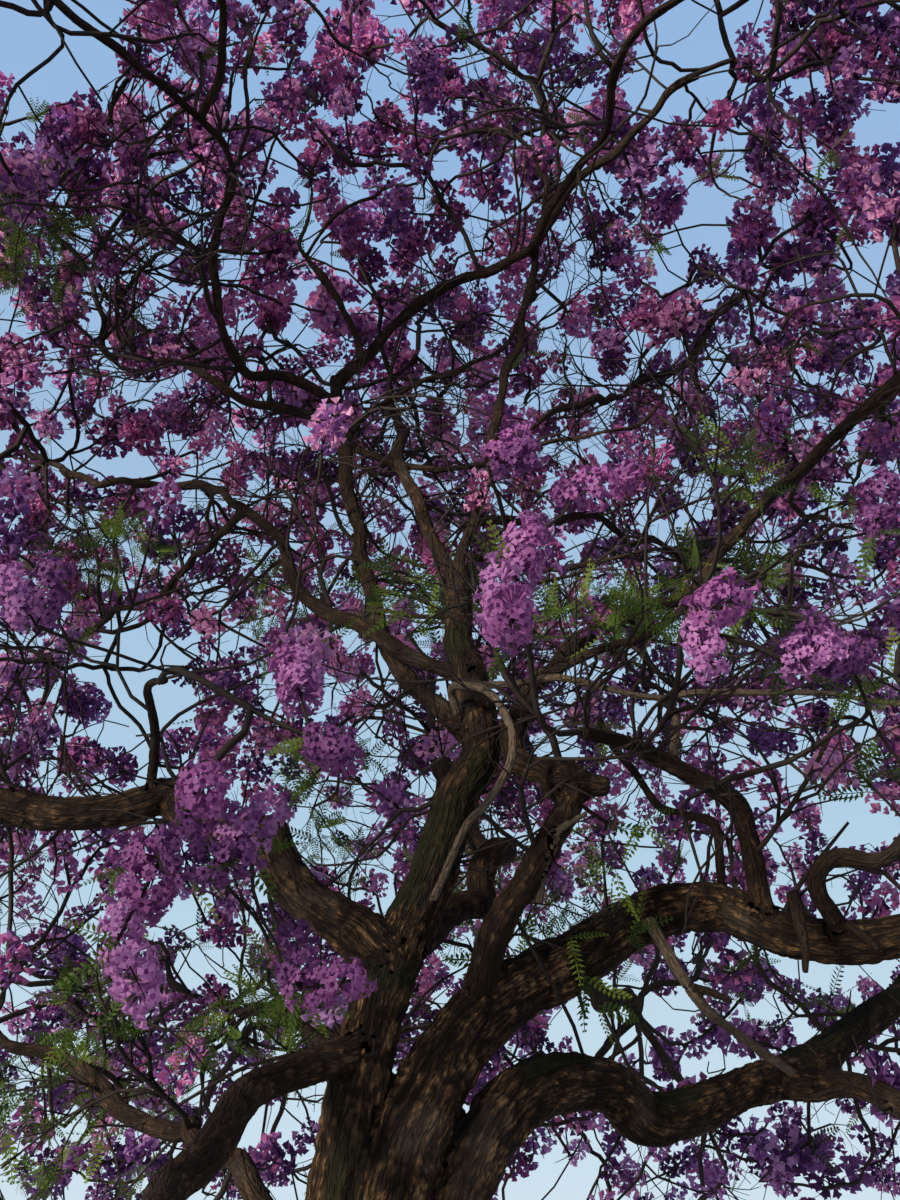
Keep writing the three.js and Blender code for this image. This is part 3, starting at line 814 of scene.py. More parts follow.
def model_wood(limbs):
    """Trunk and limbs joined and made one skin, smoothed so that the forks flow together"""
    parts = [model_trunk()]
    for name, limb in limbs.items():
        _, points, radii = limb_rings(limb)
        parts.append(model_tube(name + "_tube", points, radii))
    for name, line, radii in snag_lines():
        parts.append(model_tube(name + "_tube", line, radii))
    deselect()
    bpy.ops.mesh.primitive_ico_sphere_add(subdivisions=4, radius=1, location=BURL, scale=BURL_SIZE)
    parts.append(bpy.context.object)
    bpy.ops.object.transform_apply(location=True, scale=True)
    select_only(*parts)
    bpy.ops.object.join()
    wood = bpy.context.object
    wood.name = "trunk_and_boughs"
    skin = wood.modifiers.new("skin", "REMESH")
    skin.mode = "VOXEL"
    skin.voxel_size = VOXEL
    bpy.ops.object.modifier_apply(modifier="skin")
    smooth = wood.modifiers.new("smooth", "SMOOTH")
    smooth.factor = 0.5
    smooth.iterations = 2
    bpy.ops.object.modifier_apply(modifier="smooth")
    return wood


class Bark:
    """Where each point of the skin lies along and round its limb"""

    def __init__(self, limbs):
        rings = []
        self.names = ["trunk", *limbs]
        heights = np.linspace(0, TRUNK_HEIGHT, TRUNK_RINGS)
        leans = [lean * heights / TRUNK_HEIGHT for lean in TRUNK_LEAN]
        rings.append((0, np.stack([*leans, heights], axis=1), heights, np.full(TRUNK_RINGS, TRUNK_WIDE)))
        for number, limb in enumerate(limbs.values(), 1):
            shares, points, radii = limb_rings(limb)
            rings.append((number, points, shares * limb.length, radii))
        for number, (_, line, radii) in enumerate(snag_lines(), len(self.names)):
            way = np.concatenate([[0], np.cumsum(np.linalg.norm(np.diff(line, axis=0), axis=1))])
            rings.append((number, line, way, radii))
        self.names += list(SNAGS)
        self.owner = np.concatenate([np.full(len(way), number) for number, _, way, _ in rings])
        self.middle = np.concatenate([points for _, points, _, _ in rings])
        self.way = np.concatenate([way for _, _, way, _ in rings])
        self.wide = np.concatenate([radii for _, _, _, radii in rings])
        along, side = [], []
        for _, points, _, _ in rings:
            heading = unit(np.gradient(points, axis=0))
            along.append(heading)
            side.append(carried_sides(heading))
        self.along = np.concatenate(along)
        self.side = np.concatenate(side)

    def surface_tree(self):
        """Points of every limb's own surface, for finding which limb a point of the skin is on"""
        out = spokes(self.along, self.side, RING_SIDES)
        self.ring_of = np.repeat(np.arange(len(self.way)), RING_SIDES)
        places = self.middle[:, None] + self.wide[:, None, None] * out
        trunk = np.flatnonzero(self.owner == 0)
        turned = np.arctan2(out[trunk][..., 1], out[trunk][..., 0])
        levels = np.repeat(self.way[trunk][:, None], RING_SIDES, axis=1)
        places[trunk] = trunk_points(levels, turned)
        places = places.reshape(-1, 3)
        tree = kdtree.KDTree(len(places))
        for i, place in enumerate(places):
            tree.insert(place, i)
        tree.balance()
        return tree

    def locate(self, points, normals=None):
        """Each point's ring and its place along and round the limb, with the way back out to
        the limb's true radius where the skin has been smoothed thin"""
        tree = self.surface_tree()
        nearest = np.fromiter((tree.find(point)[1] for point in points), int, len(points))
        ring = self.ring_of[nearest]
        away = points - self.middle[ring]
        lengthwise = (away * self.along[ring]).sum(axis=1)
        flat = away - lengthwise[:, None] * self.along[ring]
        across = (flat * self.side[ring]).sum(axis=1)
        over = (flat * np.cross(self.along[ring], self.side[ring])).sum(axis=1)
        way = self.way[ring] + lengthwise + LIMB_OFFSET * self.owner[ring]
        thin = np.maximum(0, self.wide[ring] - np.hypot(across, over)) * (self.owner[ring] > 0)
        facing = 1
        if normals is not None:
            facing = np.clip((unit(flat) * normals).sum(axis=1) * FACING_SLOPE - FACING_LEAST, 0, 1)
        mend = unit(flat) * (facing * np.minimum(thin, MEND_MOST * self.wide[ring]))[:, None]
        return ring, np.stack([across, over, way], axis=1), mend


def carried_sides(heading):
    """A sideways direction at every ring, carried along without twisting"""
    guess = np.array([1.0, 0, 0]) if abs(heading[0][0]) < 0.8 else np.array([0, 1.0, 0])
    sides = np.empty_like(heading)
    for i, along in enumerate(heading):
        guess = guess - along * guess.dot(along)
        guess = guess / np.linalg.norm(guess)
        sides[i] = guess
    return sides


def spokes(along, side, count):
    """Directions all round each ring of a limb or twig, that many to a ring"""
    other = np.cross(along, side)
    angles = np.arange(count)[None, :, None] * 2 * math.pi / count
    return np.cos(angles) * side[:, None] + np.sin(angles) * other[:, None]


def furrow_height(place):
    """Ridges at 1 and the bottoms of furrows at 0, drawn out lengthwise"""
    warp = rough(place * (5, 5, 2.5), 3)[:, None] * (0.35, 0.35, 0)
    broad = np.abs(rough(place * (17, 17, 4.6) + warp, 5))
    narrow = np.abs(rough(place * (38, 38, 15) + 2 * warp, 7))
    breaks = np.clip(1.1 - 2.4 * np.abs(rough(place * (10, 10, 18), 9)), 0, 1)
    height = np.clip(broad * 3.2, 0, 1) * 0.6 + np.clip(narrow * 2.6, 0, 1) * 0.4
    return height * (1 - 0.5 * breaks**2)


def vectors_of(items, key):
    """An array with one vector of each vertex or face of a mesh"""
    values = np.empty(len(items) * 3, np.float32)
    items.foreach_get(key, values)
    return values.reshape(-1, 3).astype(float)


def carve_bark(wood, bark):
    """Furrows, lumps and the burl's rough face, with what the finish reads at each point"""
    mesh = wood.data
    points = vectors_of(mesh.vertices, "co")
    normals = vectors_of(mesh.vertex_normals, "vector")
    ring, place, mend = bark.locate(points, normals)
    wide = bark.wide[ring]
    ridge = furrow_height(place)
    lumps = rough(points * 3.1, 11) + 0.7 * rough(points * 9, 12)
    depth = np.clip(FURROW_SHARE * wide, *FURROW_DEPTH)
    burl = np.exp(-((points - BURL) ** 2).sum(axis=1) / BURL_SPREAD)
    swell = lumps * np.clip(LUMP_SHARE * wide, *LUMP_SIZE) + burl * BURL_LUMPS * rough(points * 17, 13)
    moved = points + mend + normals * ((ridge - 0.7) * depth + swell)[:, None]
    moved = strayed(moved)
    mesh.vertices.foreach_set("co", moved.astype(np.float32).ravel())
    old = np.clip((wide - YOUNG_RADIUS) / (OLD_RADIUS - YOUNG_RADIUS), 0, 1)
    upper = np.clip(normals[:, 2] * 1.6, 0, 1)
    mossy = np.isin(bark.owner[ring], [bark.names.index(name) for name in MOSSY])
    # stem_left is covered all round in near-black green, its moss and also painted shade; elsewhere moss
    # lies on the upper sides
    moss_and_shade_covered = bark.owner[ring] == bark.names.index("stem_left")
    patchy = np.clip(0.6 + 1.3 * rough(points * 4.5, 21), 0, 1)
    moss = patchy * np.where(moss_and_shade_covered, MOSS_AND_SHADE_COVERED, upper * np.where(mossy, 1, MOSS_ELSEWHERE))
    pale = np.isin(bark.owner[ring], [bark.names.index(name) for name in PALE])
    for name, values in (("ridge", ridge), ("old", old), ("moss", moss), ("pale", pale)):
        layer = mesh.attributes.new(name, "FLOAT", "POINT")
        layer.data.foreach_set("value", values.astype(np.float32))
    layer = mesh.attributes.new("bark_place", "FLOAT_VECTOR", "POINT")
    layer.data.foreach_set("vector", place.astype(np.float32).ravel())
    mesh.update()


def cut_at_ground(wood):
    """The trunk's flat cut, closed"""
    select_only(wood)
    bpy.ops.object.mode_set(mode="EDIT")
    bpy.ops.mesh.select_all(action="SELECT")
    bpy.ops.mesh.bisect(plane_co=(0, 0, 0), plane_no=(0, 0, 1), use_fill=True, clear_inner=True)
    bpy.ops.object.mode_set(mode="OBJECT")
    for vertex in wood.data.vertices:
        vertex.co.z = max(0, vertex.co.z)


# The pieces that the wood is shared out into, with the nodes that each stands for
WOOD_PIECES = {
    "trunk_and_stems": ("trunk", "stem_left", "stem_right", "bough_twisted"),
    "low_left_boughs": (
        "bough_left", "bough_front_low", "bough_back", "bough_back_left", "bough_left_front",
    ),
    "low_right_boughs": ("stem_low", "bough_low_fork", "bough_back_low", "bough_right_front", "bough_loop"),
    "high_left_boughs": (
        "bough_left_mid", "bough_upright", "bough_far_left", "bough_front_left", "bough_front",
        "bough_left_back",
    ),
    "high_right_boughs": (
        "bough_right_upper", "bough_back_centre", "bough_high_right", "bough_high_back", "bough_top",
        "bough_high_far", "bough_right_back", "bough_front_right",
    ),
    "small_limbs": ("bough_arched", "bough_near_right", "bough_near_left"),
}


def bark_pieces(wood, bark):
    """The number of the piece that each face of the wood belongs to"""
    ring = bark.locate(vectors_of(wood.data.polygons, "center"))[0]
    number_of = {node: number for number, nodes in enumerate(WOOD_PIECES.values()) for node in nodes}
    small = len(WOOD_PIECES) - 1
    return np.array([number_of.get(name, small) for name in bark.names])[bark.owner[ring]]


def bark_finish():
    """Old wood's dark brown bark, with painted shade near black in the furrows and painted warm tan
    highlight on the ridge tops; smoother grey tan on young limbs
    """
    bark = Finish("furrowed_bark")
    place = bark.attribute("bark_place", "Vector")
    ridge = bark.attribute("ridge")
    old = bark.attribute("old")
    moss = bark.attribute("moss")
    twisted = bark.noise(bark.stretched(place, (1, 1, 0.5)), 9, 2)
    ropes = bark.noise(bark.stretched(place, (1, 1, 0.2)), 34, 2, 0.5)
    ropes = ((ropes + twisted * 0.25 - 0.625).joined("ABSOLUTE") * 9).between(0, 1)
    flakes = bark.noise(bark.stretched(place, (1, 1, 0.38)), 80, 5, 0.66)
    fibres = bark.noise(bark.stretched(place, (1, 1, 0.26)), 150, 5, 0.76)
    broad = bark.noise(bark.object_place(), 2.3, 3)
    height = ridge * 0.26 + ropes * 0.12 + flakes * 0.46 + fibres * 0.42
    # Darker where the furrows lie deep: the near-black furrows are painted shade and the tan ridge tops
    # painted highlight, over the bark's own dark brown
    shaded_furrows_lit_ridges = bark.ramp(height, [
        (0.44, (0.004, 0.003, 0.0025)),
        (0.64, (0.018, 0.0115, 0.007)),
        (0.77, (0.085, 0.05, 0.024)),
        (0.88, (0.33, 0.2, 0.095)),
    ])
    smooth = bark.ramp(fibres * 0.6 + twisted * 0.4, [
        (0.34, (0.008, 0.0055, 0.004)),
        (0.56, (0.032, 0.02, 0.0135)),
        (0.76, (0.14, 0.09, 0.058)),
    ])
    worn = bark.ramp(fibres * 0.5 + flakes * 0.5, [
        (0.3, (0.06, 0.045, 0.033)),
        (0.7, (0.3, 0.24, 0.17)),
    ])
    wood = bark.blend(bark.attribute("pale") * 0.8, bark.blend(old, smooth, shaded_furrows_lit_ridges), worn)
    grey = bark.blend(broad.between(0.52, 0.75) * 0.4, wood, (0.12, 0.105, 0.09))
    # Near-black to dark green: moss, and on stem_left also painted shade
    moss_and_shade_green = bark.blend(fibres, (0.004, 0.006, 0.002), (0.026, 0.032, 0.012))
    moss_and_shade_cover = (moss * (flakes * 0.5 + fibres)).between(0.24, 0.5)
    bark.set(Base_Color=bark.blend(moss_and_shade_cover * 0.85, grey, moss_and_shade_green), Roughness=0.92 - ridge * 0.12)
    bark.shader.inputs["Specular IOR Level"].default_value = 0.2
    bark.set(Normal=bark.bump(ropes * 0.6 + flakes * 0.5 + fibres * 0.25, 0.022, 1))
    return bark.material


def ride_as(piece, slot, *nodes):
    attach(piece, "root")
    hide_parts(*nodes)


def split_wood(wood, group, names):
    """Each group of faces as a piece of its own"""
    pieces = []
    for number, name in enumerate(names):
        piece = wood.copy()
        piece.data = wood.data.copy()
        piece.name = name
        bpy.context.scene.collection.objects.link(piece)
        select_only(piece)
        bpy.ops.object.mode_set(mode="EDIT")
        bpy.ops.mesh.select_all(action="DESELECT")
        bpy.ops.object.mode_set(mode="OBJECT")
        piece.data.polygons.foreach_set("select", group != number)
        bpy.ops.object.mode_set(mode="EDIT")
        bpy.ops.mesh.delete(type="FACE")
        bpy.ops.object.mode_set(mode="OBJECT")
        bpy.ops.object.shade_smooth()
        pieces.append(piece)
    bpy.data.objects.remove(wood)
    return pieces


def build_wood(limbs):
    bark = Bark(limbs)
    wood = model_wood(limbs)
    carve_bark(wood, bark)
    cut_at_ground(wood)
    group = bark_pieces(wood, bark)
    finish = bark_finish()
    wood.data.materials.clear()
    wood.data.materials.append(finish)
    for piece, nodes in zip(split_wood(wood, group, WOOD_PIECES), WOOD_PIECES.values()):
        old = piece.name == "trunk_and_stems" or piece.name.startswith("low")
        ride_as(piece, "bark" if old else "young_bark", *nodes)


# The masses' own spaces, by the part's rule

class Masses:
    def __init__(self, limbs):
        self.limbs = limbs
        self.names = list(MASSES)
        self.centres = metres([row[1] for row in MASSES.values()])
        middles, radii, owners = [], [], []
        for name, limb in limbs.items():
            count = math.ceil(limb.length / BALL_STEP)
            shares = np.arange(count + 1) / count
            middles.append(limb.at(shares))
            radii.append(limb.radius(shares))
            owners += [name] * (count + 1)
        self.balls = np.concatenate(middles)
        self.ball_radii = np.concatenate(radii)
        self.owners = np.array(owners)

    def room(self, name, places):
        """How far inside the mass's own cell each place lies"""
        number = self.names.index(name)
        own = self.centres[number]
        others = np.delete(self.centres, number, axis=0)
        to_own = ((places - own) ** 2).sum(axis=1)[:, None]
        to_others = ((places[:, None] - others) ** 2).sum(axis=2)
        return ((to_others - to_own) / (2 * np.linalg.norm(others - own, axis=1))).min(axis=1)

    def clear(self, places, radius, carrier):
        """Whether each place stays that far off every limb, and a margin more off strange ones"""
        away = np.linalg.norm(places[:, None] - self.balls, axis=2)
        margin = np.where(self.owners == carrier, 0, LIMB_MARGIN)
        return (away > self.ball_radii + radius + margin).all(axis=1)

    def clear_way(self, name, start, end, carrier, margin):
        places = start + (end - start) * (np.arange(1, WAY_TESTS + 1) / WAY_TESTS)[:, None]
        inside = (self.room(name, places) > margin + TWIG_ROOM).all()
        return inside and self.clear(places, TWIG_ROOM, carrier).all()


def seeded(seed):
    """The part's own small generator of even random numbers"""
    state = seed

    def draw():
        nonlocal state
        state = (state + 0x6D2B79F5) & 0xFFFFFFFF
        mixed = ((state ^ (state >> 15)) * (1 | state)) & 0xFFFFFFFF
        mixed = (mixed + (mixed ^ (mixed >> 7)) * (61 | mixed)) & 0xFFFFFFFF ^ mixed
        return ((mixed ^ (mixed >> 14)) & 0xFFFFFFFF) / 4294967296

    return draw


def places_in_mass(centre, half, draws, inner=INNER_SHARE, outer=OUTER_SHARE):
    """Places in the outer part of a mass's ellipsoid, from rows of three random numbers"""
    turn = 2 * math.pi * draws[:, 0]
    rise = 2 * draws[:, 1] - 1
    share = np.cbrt(inner**3 + (outer**3 - inner**3) * draws[:, 2])
    level = np.sqrt(1 - rise * rise) * share * half[0]
    return centre + np.stack([level * np.cos(turn), level * np.sin(turn), rise * share * half[1]], axis=1)


def in_picture(places):
    """Where the picture shows each place, across and down"""
    away = places - EYE
    ahead = away[:, 1] * math.cos(LOOK_UP) + away[:, 2] * math.sin(LOOK_UP)
    above = away[:, 2] * math.cos(LOOK_UP) - away[:, 1] * math.sin(LOOK_UP)
    seen = np.stack([away[:, 0], -above], axis=1) / np.maximum(ahead, 0.1)[:, None]
    return np.where(ahead[:, None] > 0.5, PICTURE_MIDDLE + FOCAL * seen, -9999)


def behind_picture(spots, away):
    """The places that far from the eye which the picture shows at some spots"""
    right, down = ((spots - PICTURE_MIDDLE) / FOCAL).T
    level = math.cos(LOOK_UP) + down * math.sin(LOOK_UP)
    rise = math.sin(LOOK_UP) - down * math.cos(LOOK_UP)
    return EYE + unit(np.stack([right, level, rise], axis=1)) * away[:, None]


def in_ellipses(places, ellipses):
    """Whether the picture shows each place inside one of the ellipses"""
    u, v = in_picture(places).T
    inside = np.zeros(len(places), bool)
    for mid_u, mid_v, half_u, half_v in ellipses:
        inside |= ((u - mid_u) / half_u) ** 2 + ((v - mid_v) / half_v) ** 2 < 1
    return inside


def in_opening(places):
    return in_ellipses(places, OPENINGS)


def in_box(places):
    low, high = np.array(cad_box[0]) + BOX_MARGIN, np.array(cad_box[1]) - BOX_MARGIN
    return ((places > low) & (places < high)).all(axis=1)


def emptiest(places, taken, allowed, least):
    """The place that is furthest from all those taken, or none if every gap is too small"""
    gaps = np.full(len(places), 100.0)
    if len(taken):
        gaps = np.linalg.norm(places[:, None] - np.array(taken), axis=2).min(axis=1)
    gaps = np.where(allowed & (gaps > least), gaps, 0)
    best = int(gaps.argmax())
    return places[best] if gaps[best] > 0 else None


class Twig:
    """A point of a twig: its place, the one before it and how many sprays it carries"""

    def __init__(self, place, parent, way=0.0, spray=False):
        self.place = place
        self.parent = parent
        self.way = way
        self.spray = spray
        self.bare = False
        self.cap = None
        self.carried = 0
        self.children = []
        if parent:
            parent.children.append(self)


class Growth:
    """Twigs in the making, each joined to the one that gives it the shortest way back"""

    def __init__(self, masses, name, seed):
        self.masses = masses
        self.name = name
        self.rng = np.random.default_rng(seed)
        self.nodes = []

    def costs(self, place):
        """How far each twig is from a new place, and what growing there from it costs"""
        spots = np.array([node.place for node in self.nodes])
        ways = np.array([node.way for node in self.nodes])
        far = np.linalg.norm(spots - place, axis=1)
        return far, far * (1 + PATH_COST) + PATH_COST * ways

    def reach(self, parent, place, far):
        """A crooked way to a new spray, with points along it where other twigs may join"""
        count = max(1, round(far / NODE_STEP))
        start = parent.place
        for i in range(1, count + 1):
            spot = start + (place - start) * i / count
            if i < count:
                spot = spot + self.rng.normal(0, CROOK * min(far, 0.8), 3)
            step = np.linalg.norm(spot - parent.place)
            parent = Twig(spot, parent, parent.way + step, i == count)
            self.nodes.append(parent)

    def count_up(self):
        """Lets every twig know how many sprays it carries"""
        for node in self.nodes:
            above = node if node.spray else None
            while above:
                above.carried += 1
                above = above.parent

    def radius(self, node):
        return min(self.thickest(node), TWIG_TIP * max(1, node.carried) ** TWIG_SHARE)


class Mass(Growth):
    """The twigs of one mass, all from its stem"""

    def __init__(self, masses, number, name, row):
        super().__init__(masses, name, FIRST_SEED + number)
        self.carrier = row[0]
        self.centre, self.half = metres(row[1]), metres(row[2])
        self.sprays = row[3] if len(row) > 3 else MAIN_SPRAYS
        self.size = row[4] if len(row) > 3 else 1
        self.draw = seeded(FIRST_SEED + number)
        limb = masses.limbs[self.carrier]
        heading = limb.heading()
        root = limb.at([1])[0] + heading * CLEARANCE
        self.tip_radius = float(limb.radius([1])[0])
        self.stem = Twig(limb.at([1 - STEM_SUNK / limb.length])[0], None)
        self.nodes = [Twig(root + heading * STEM_LENGTH, self.stem)]

    def main_places(self):
        """The part's own sprays, drawn from the same numbers"""
        taken = []
        room = SPRAY_ROOM * self.size
        for _ in range(self.sprays):
            draws = np.array([self.draw() for _ in range(3 * PLACES_TRIED)]).reshape(-1, 3)
            places = places_in_mass(self.centre, self.half, draws)
            inside = self.masses.room(self.name, places) > room + CELL_MARGIN
            allowed = inside & self.masses.clear(places, room, self.carrier)
            best = emptiest(places, taken, allowed, SPRAY_GAP * self.size)
            if best is not None:
                taken.append(best)
        return taken

    def fine_places(self, taken, count):
        """Sprays between the main ones, in the same reach"""
        found = []
        droop = LOW_DROOP if self.name.endswith("_low") else 0
        centre, half = self.centre - (0, 0, droop), self.half + (0, droop)
        for _ in range(count):
            places = places_in_mass(centre, half, self.rng.random((PLACES_TRIED, 3)), 0.25, 1)
            inside = self.masses.room(self.name, places) > FINE_ROOM * self.size
            inside &= in_box(places) & ~in_opening(places)
            allowed = inside & self.masses.clear(places, FINE_ROOM, self.carrier)
            best = emptiest(places, taken + found, allowed, FINE_GAP * self.size)
            if best is not None:
                found.append(best)
        return found

    def join(self, places, margin):
        """Each spray joins the twig that gives it the shortest way back to the stem"""
        fork = self.nodes[0].place
        for place in sorted(places, key=lambda each: np.linalg.norm(each - fork)):
            far, costs = self.costs(place)
            for pick in np.argsort(costs)[:PARENTS_TRIED]:
                parent = self.nodes[pick]
                if self.masses.clear_way(self.name, parent.place, place, self.carrier, margin):
                    self.reach(parent, place, far[pick])
                    break

    def hang_clumps(self):
        """Twigs to the clumps that hang near the viewer"""
        for place in metres(CLUMPS[self.name]):
            far, _ = self.costs(place)
            self.reach(self.nodes[far.argmin()], place, far.min())

    def grow(self):
        if self.name in CLUMPS:
            self.hang_clumps()
        else:
            main = self.main_places()
            self.join(main, CELL_MARGIN)
            self.join(self.fine_places(main, FINE_SPRAYS), 0)
            for node in self.nodes:
                node.spray = node.spray and not in_opening(node.place[None])[0]
                node.bare = self.outward(node.place) < INNER_FROM and self.rng.random() > INNER_BLOOM
        self.count_up()

    def outward(self, place):
        """How far out in the mass a place lies, from -1 next to the crown's middle and the viewer to 1"""
        out = unit(unit(self.centre - CROWN_MIDDLE) + unit(self.centre - EYE))
        return (place - self.centre).dot(out) / self.half[0]

    def thickest(self, node):
        return STEM_THICK * self.tip_radius

    def roots(self):
        return [self.stem]


class Between(Growth):
    """Sprays in the open crown between the masses, each joined to the nearest limb or twig"""

    def __init__(self, masses):
        super().__init__(masses, "between", BETWEEN_SEED)
        for name, limb in masses.limbs.items():
            start = STEM_BRANCH_START if name.startswith("stem") else BETWEEN_START
            shares = np.linspace(start, BETWEEN_END, max(3, round(limb.length / BETWEEN_STEP)))
            for place, radius in zip(limb.at(shares), limb.radius(shares)):
                self.nodes.append(Twig(place, None))
                self.nodes[-1].cap = SIDE_TWIG_THICK * radius
        self.limb_nodes = list(self.nodes)
        self.limb_spots = np.array([node.place for node in self.limb_nodes])

    def depth_in_masses(self, places):
        """How deep each place lies in the nearest mass's ellipsoid, less than 1 inside"""
        centres = self.masses.centres
        halves = metres([row[2] for row in MASSES.values()])
        flat = np.linalg.norm(places[:, None, :2] - centres[:, :2], axis=2) / halves[:, 0]
        high = (places[:, None, 2] - centres[:, 2]) / halves[:, 1]
        return np.sqrt(flat**2 + high**2).min(axis=1)

    def fill_places(self, flowering):
        """Places behind the limbs where the picture would show the least blossom"""
        shown = list(in_picture(np.array(flowering)))
        found = []
        while len(found) < FILL_SPRAYS:
            spots = self.rng.uniform((0, 0), PICTURE, (PLACES_TRIED, 2))
            places = behind_picture(spots, self.rng.uniform(*FILL_AWAY, PLACES_TRIED))
            near = np.linalg.norm(places[:, None] - self.limb_spots, axis=2).min(axis=1)
            allowed = in_box(places) & ~in_opening(places) & (places[:, 2] > FILL_LOWEST)
            allowed &= (near < FILL_FAR) & (near > BETWEEN_NEAR)
            gaps = np.linalg.norm(spots[:, None] - np.array(shown), axis=2).min(axis=1) * allowed
            if allowed.any():
                shown.append(spots[gaps.argmax()])
                found.append(places[gaps.argmax()])
        return found

    def places_near_limbs(self):
        """Places round the limbs and behind them, out of the masses and away from the viewer"""
        taken = []
        while len(taken) < BETWEEN_SPRAYS:
            pick = self.limb_spots[self.rng.integers(len(self.limb_spots), size=PLACES_TRIED)]
            places = pick + self.rng.normal(0, BETWEEN_SPREAD, (PLACES_TRIED, 3))
            gaps = np.linalg.norm(places[:, None] - self.limb_spots, axis=2)
            near = gaps.min(axis=1)
            away = np.linalg.norm(places - EYE, axis=1)
            beyond = away - np.linalg.norm(self.limb_spots[gaps.argmin(axis=1)] - EYE, axis=1)
            allowed = (near > BETWEEN_NEAR) & (near < BETWEEN_FAR) & (places[:, 2] > BETWEEN_LOWEST)
            allowed &= ~in_opening(places) & (self.depth_in_masses(places) > OUT_OF_MASSES)
            allowed &= (beyond > BETWEEN_BEHIND) & (away > FREE_ROUND_EYE)
            best = emptiest(places, taken, allowed, BETWEEN_GAP)
            if best is not None:
                taken.append(best)
        return taken

    def grow(self, flowering):
        taken = self.places_near_limbs()
        bare = self.rng.random(BETWEEN_SPRAYS) > BETWEEN_BLOOM
        blooms = [place for place, without in zip(taken, bare) if not without]
        sprays = [*zip(taken, bare), *((place, False) for place in self.fill_places(flowering + blooms))]
        for place, without in sorted(sprays, key=self.way_to_limb):
            far, costs = self.costs(place)
            best = costs.argmin()
            self.reach(self.nodes[best], place, far[best])
            self.nodes[-1].bare = without
        self.count_up()

    def way_to_limb(self, spray):
        return np.linalg.norm(self.limb_spots - spray[0], axis=1).min()

    def thickest(self, node):
        while node.parent:
            node = node.parent
        return node.cap

    def roots(self):
        return self.limb_nodes


def chains(roots):
    """The twigs as long lines: each carries on through its heaviest child"""
    lines = []
    starts = [(root, child) for root in roots for child in root.children]
    while starts:
        parent, node = starts.pop()
        line = [parent, node]
        while node.children:
            ranked = sorted(node.children, key=lambda child: -child.carried)
            starts += [(node, child) for child in ranked[1:]]
            node = ranked[0]
            line.append(node)
        lines.append(line)
    return lines


def branch_out(rng, start, heading, long, thick):
    """The lines and radii of a crooked branch and of all that forks from it"""
    points, headings = [start], [heading]
    curl = rng.normal(0, BRANCH_CURL, 3)
    for _ in range(max(2, round(long / BRANCH_STEP))):
        curl = CURL_KEPT * curl + rng.normal(0, BRANCH_CURL, 3)
        heading = heading + curl + OUTWARD_PULL * (points[-1] - CROWN_MIDDLE)
        heading = heading / math.sqrt(heading.dot(heading))
        points.append(points[-1] + heading * BRANCH_STEP)
        headings.append(heading)
    path = np.array(points)
    stopped = in_opening(path) & (rng.random(len(path)) < STOPPED_BY_SKY)
    stopped |= ~in_box(path) | (path[:, 2] < BRANCH_LOWEST)
    stopped |= np.linalg.norm(path - EYE, axis=1) < TWIGLESS_ROUND_EYE
    if stopped.any():
        path = path[:stopped.argmax()]
    if len(path) < 3:
        return []
    radii = np.linspace(thick, max(TWIG_END, BRANCH_TAPER * thick), len(path))
    lines = [(path, radii)]
    if long < SHORTEST:
        return lines
    for i in np.flatnonzero(rng.random(len(path) - 1) < FORK_SHARE):
        side = unit(np.cross(headings[i], rng.normal(0, 1, 3)))
        turned = unit(headings[i] + side * rng.uniform(*FORK_TURN))
        rest = long * (1 - 0.5 * i / len(path)) * rng.uniform(*CHILD_LENGTH)
        lines += branch_out(rng, path[i], turned, rest, CHILD_THICK * radii[i])
    return lines


def limb_branches(limbs):
    """Where branches leave the sides of every limb, with their headings, lengths and radii"""
    rng = np.random.default_rng(BRANCH_SEED)
    found = []
    for name, limb in limbs.items():
        first = STEM_BRANCH_START if name.startswith("stem") else BRANCH_START
        for share in np.arange(first, 0.99, BRANCH_EVERY / limb.length):
            start, ahead = limb.at([share, min(1, share + 0.01)])
            wide = float(limb.radius([share])[0])
            along = unit(ahead - start)
            side = unit(np.cross(along, rng.normal(0, 1, 3)))
            long = rng.uniform(*BRANCH_LENGTH)
            heading = unit(side + BRANCH_ALONG * along + BRANCH_RISE)
            found.append((start, heading, long, min(TWIG_TO_LIMB * wide, BRANCH_THICK * long)))
    return found


# Tubes of few sides along many lines, as arrays, and the most triangles that one piece may have

PIECE_LIMIT = 190000


def tube(path, radii, sides):
    """Points and triangles of a closed tapering tube"""
    heading = unit(np.gradient(path, axis=0))
    out = spokes(heading, carried_sides(heading), sides)
    points = (path[:, None] + radii[:, None, None] * out).reshape(-1, 3)
    rings = np.arange(len(path) - 1)[:, None] * sides
    near = rings + np.arange(sides)
    next_near = rings + (np.arange(sides) + 1) % sides
    walls = np.concatenate([
        np.stack([near, next_near, next_near + sides], axis=-1).reshape(-1, 3),
        np.stack([near, next_near + sides, near + sides], axis=-1).reshape(-1, 3),
    ])
    fan = np.array([(0, i, i + 1) for i in range(1, sides - 1)])
    last = (len(path) - 1) * sides
    return points, np.concatenate([walls, fan[:, ::-1], fan + last])


def merged(things):
    """Points and triangles of many small things as one"""
    starts = np.cumsum([0] + [len(points) for points, _ in things[:-1]])
    points = np.concatenate([points for points, _ in things])
    faces = np.concatenate([faces + start for (_, faces), start in zip(things, starts)])
    return points, faces


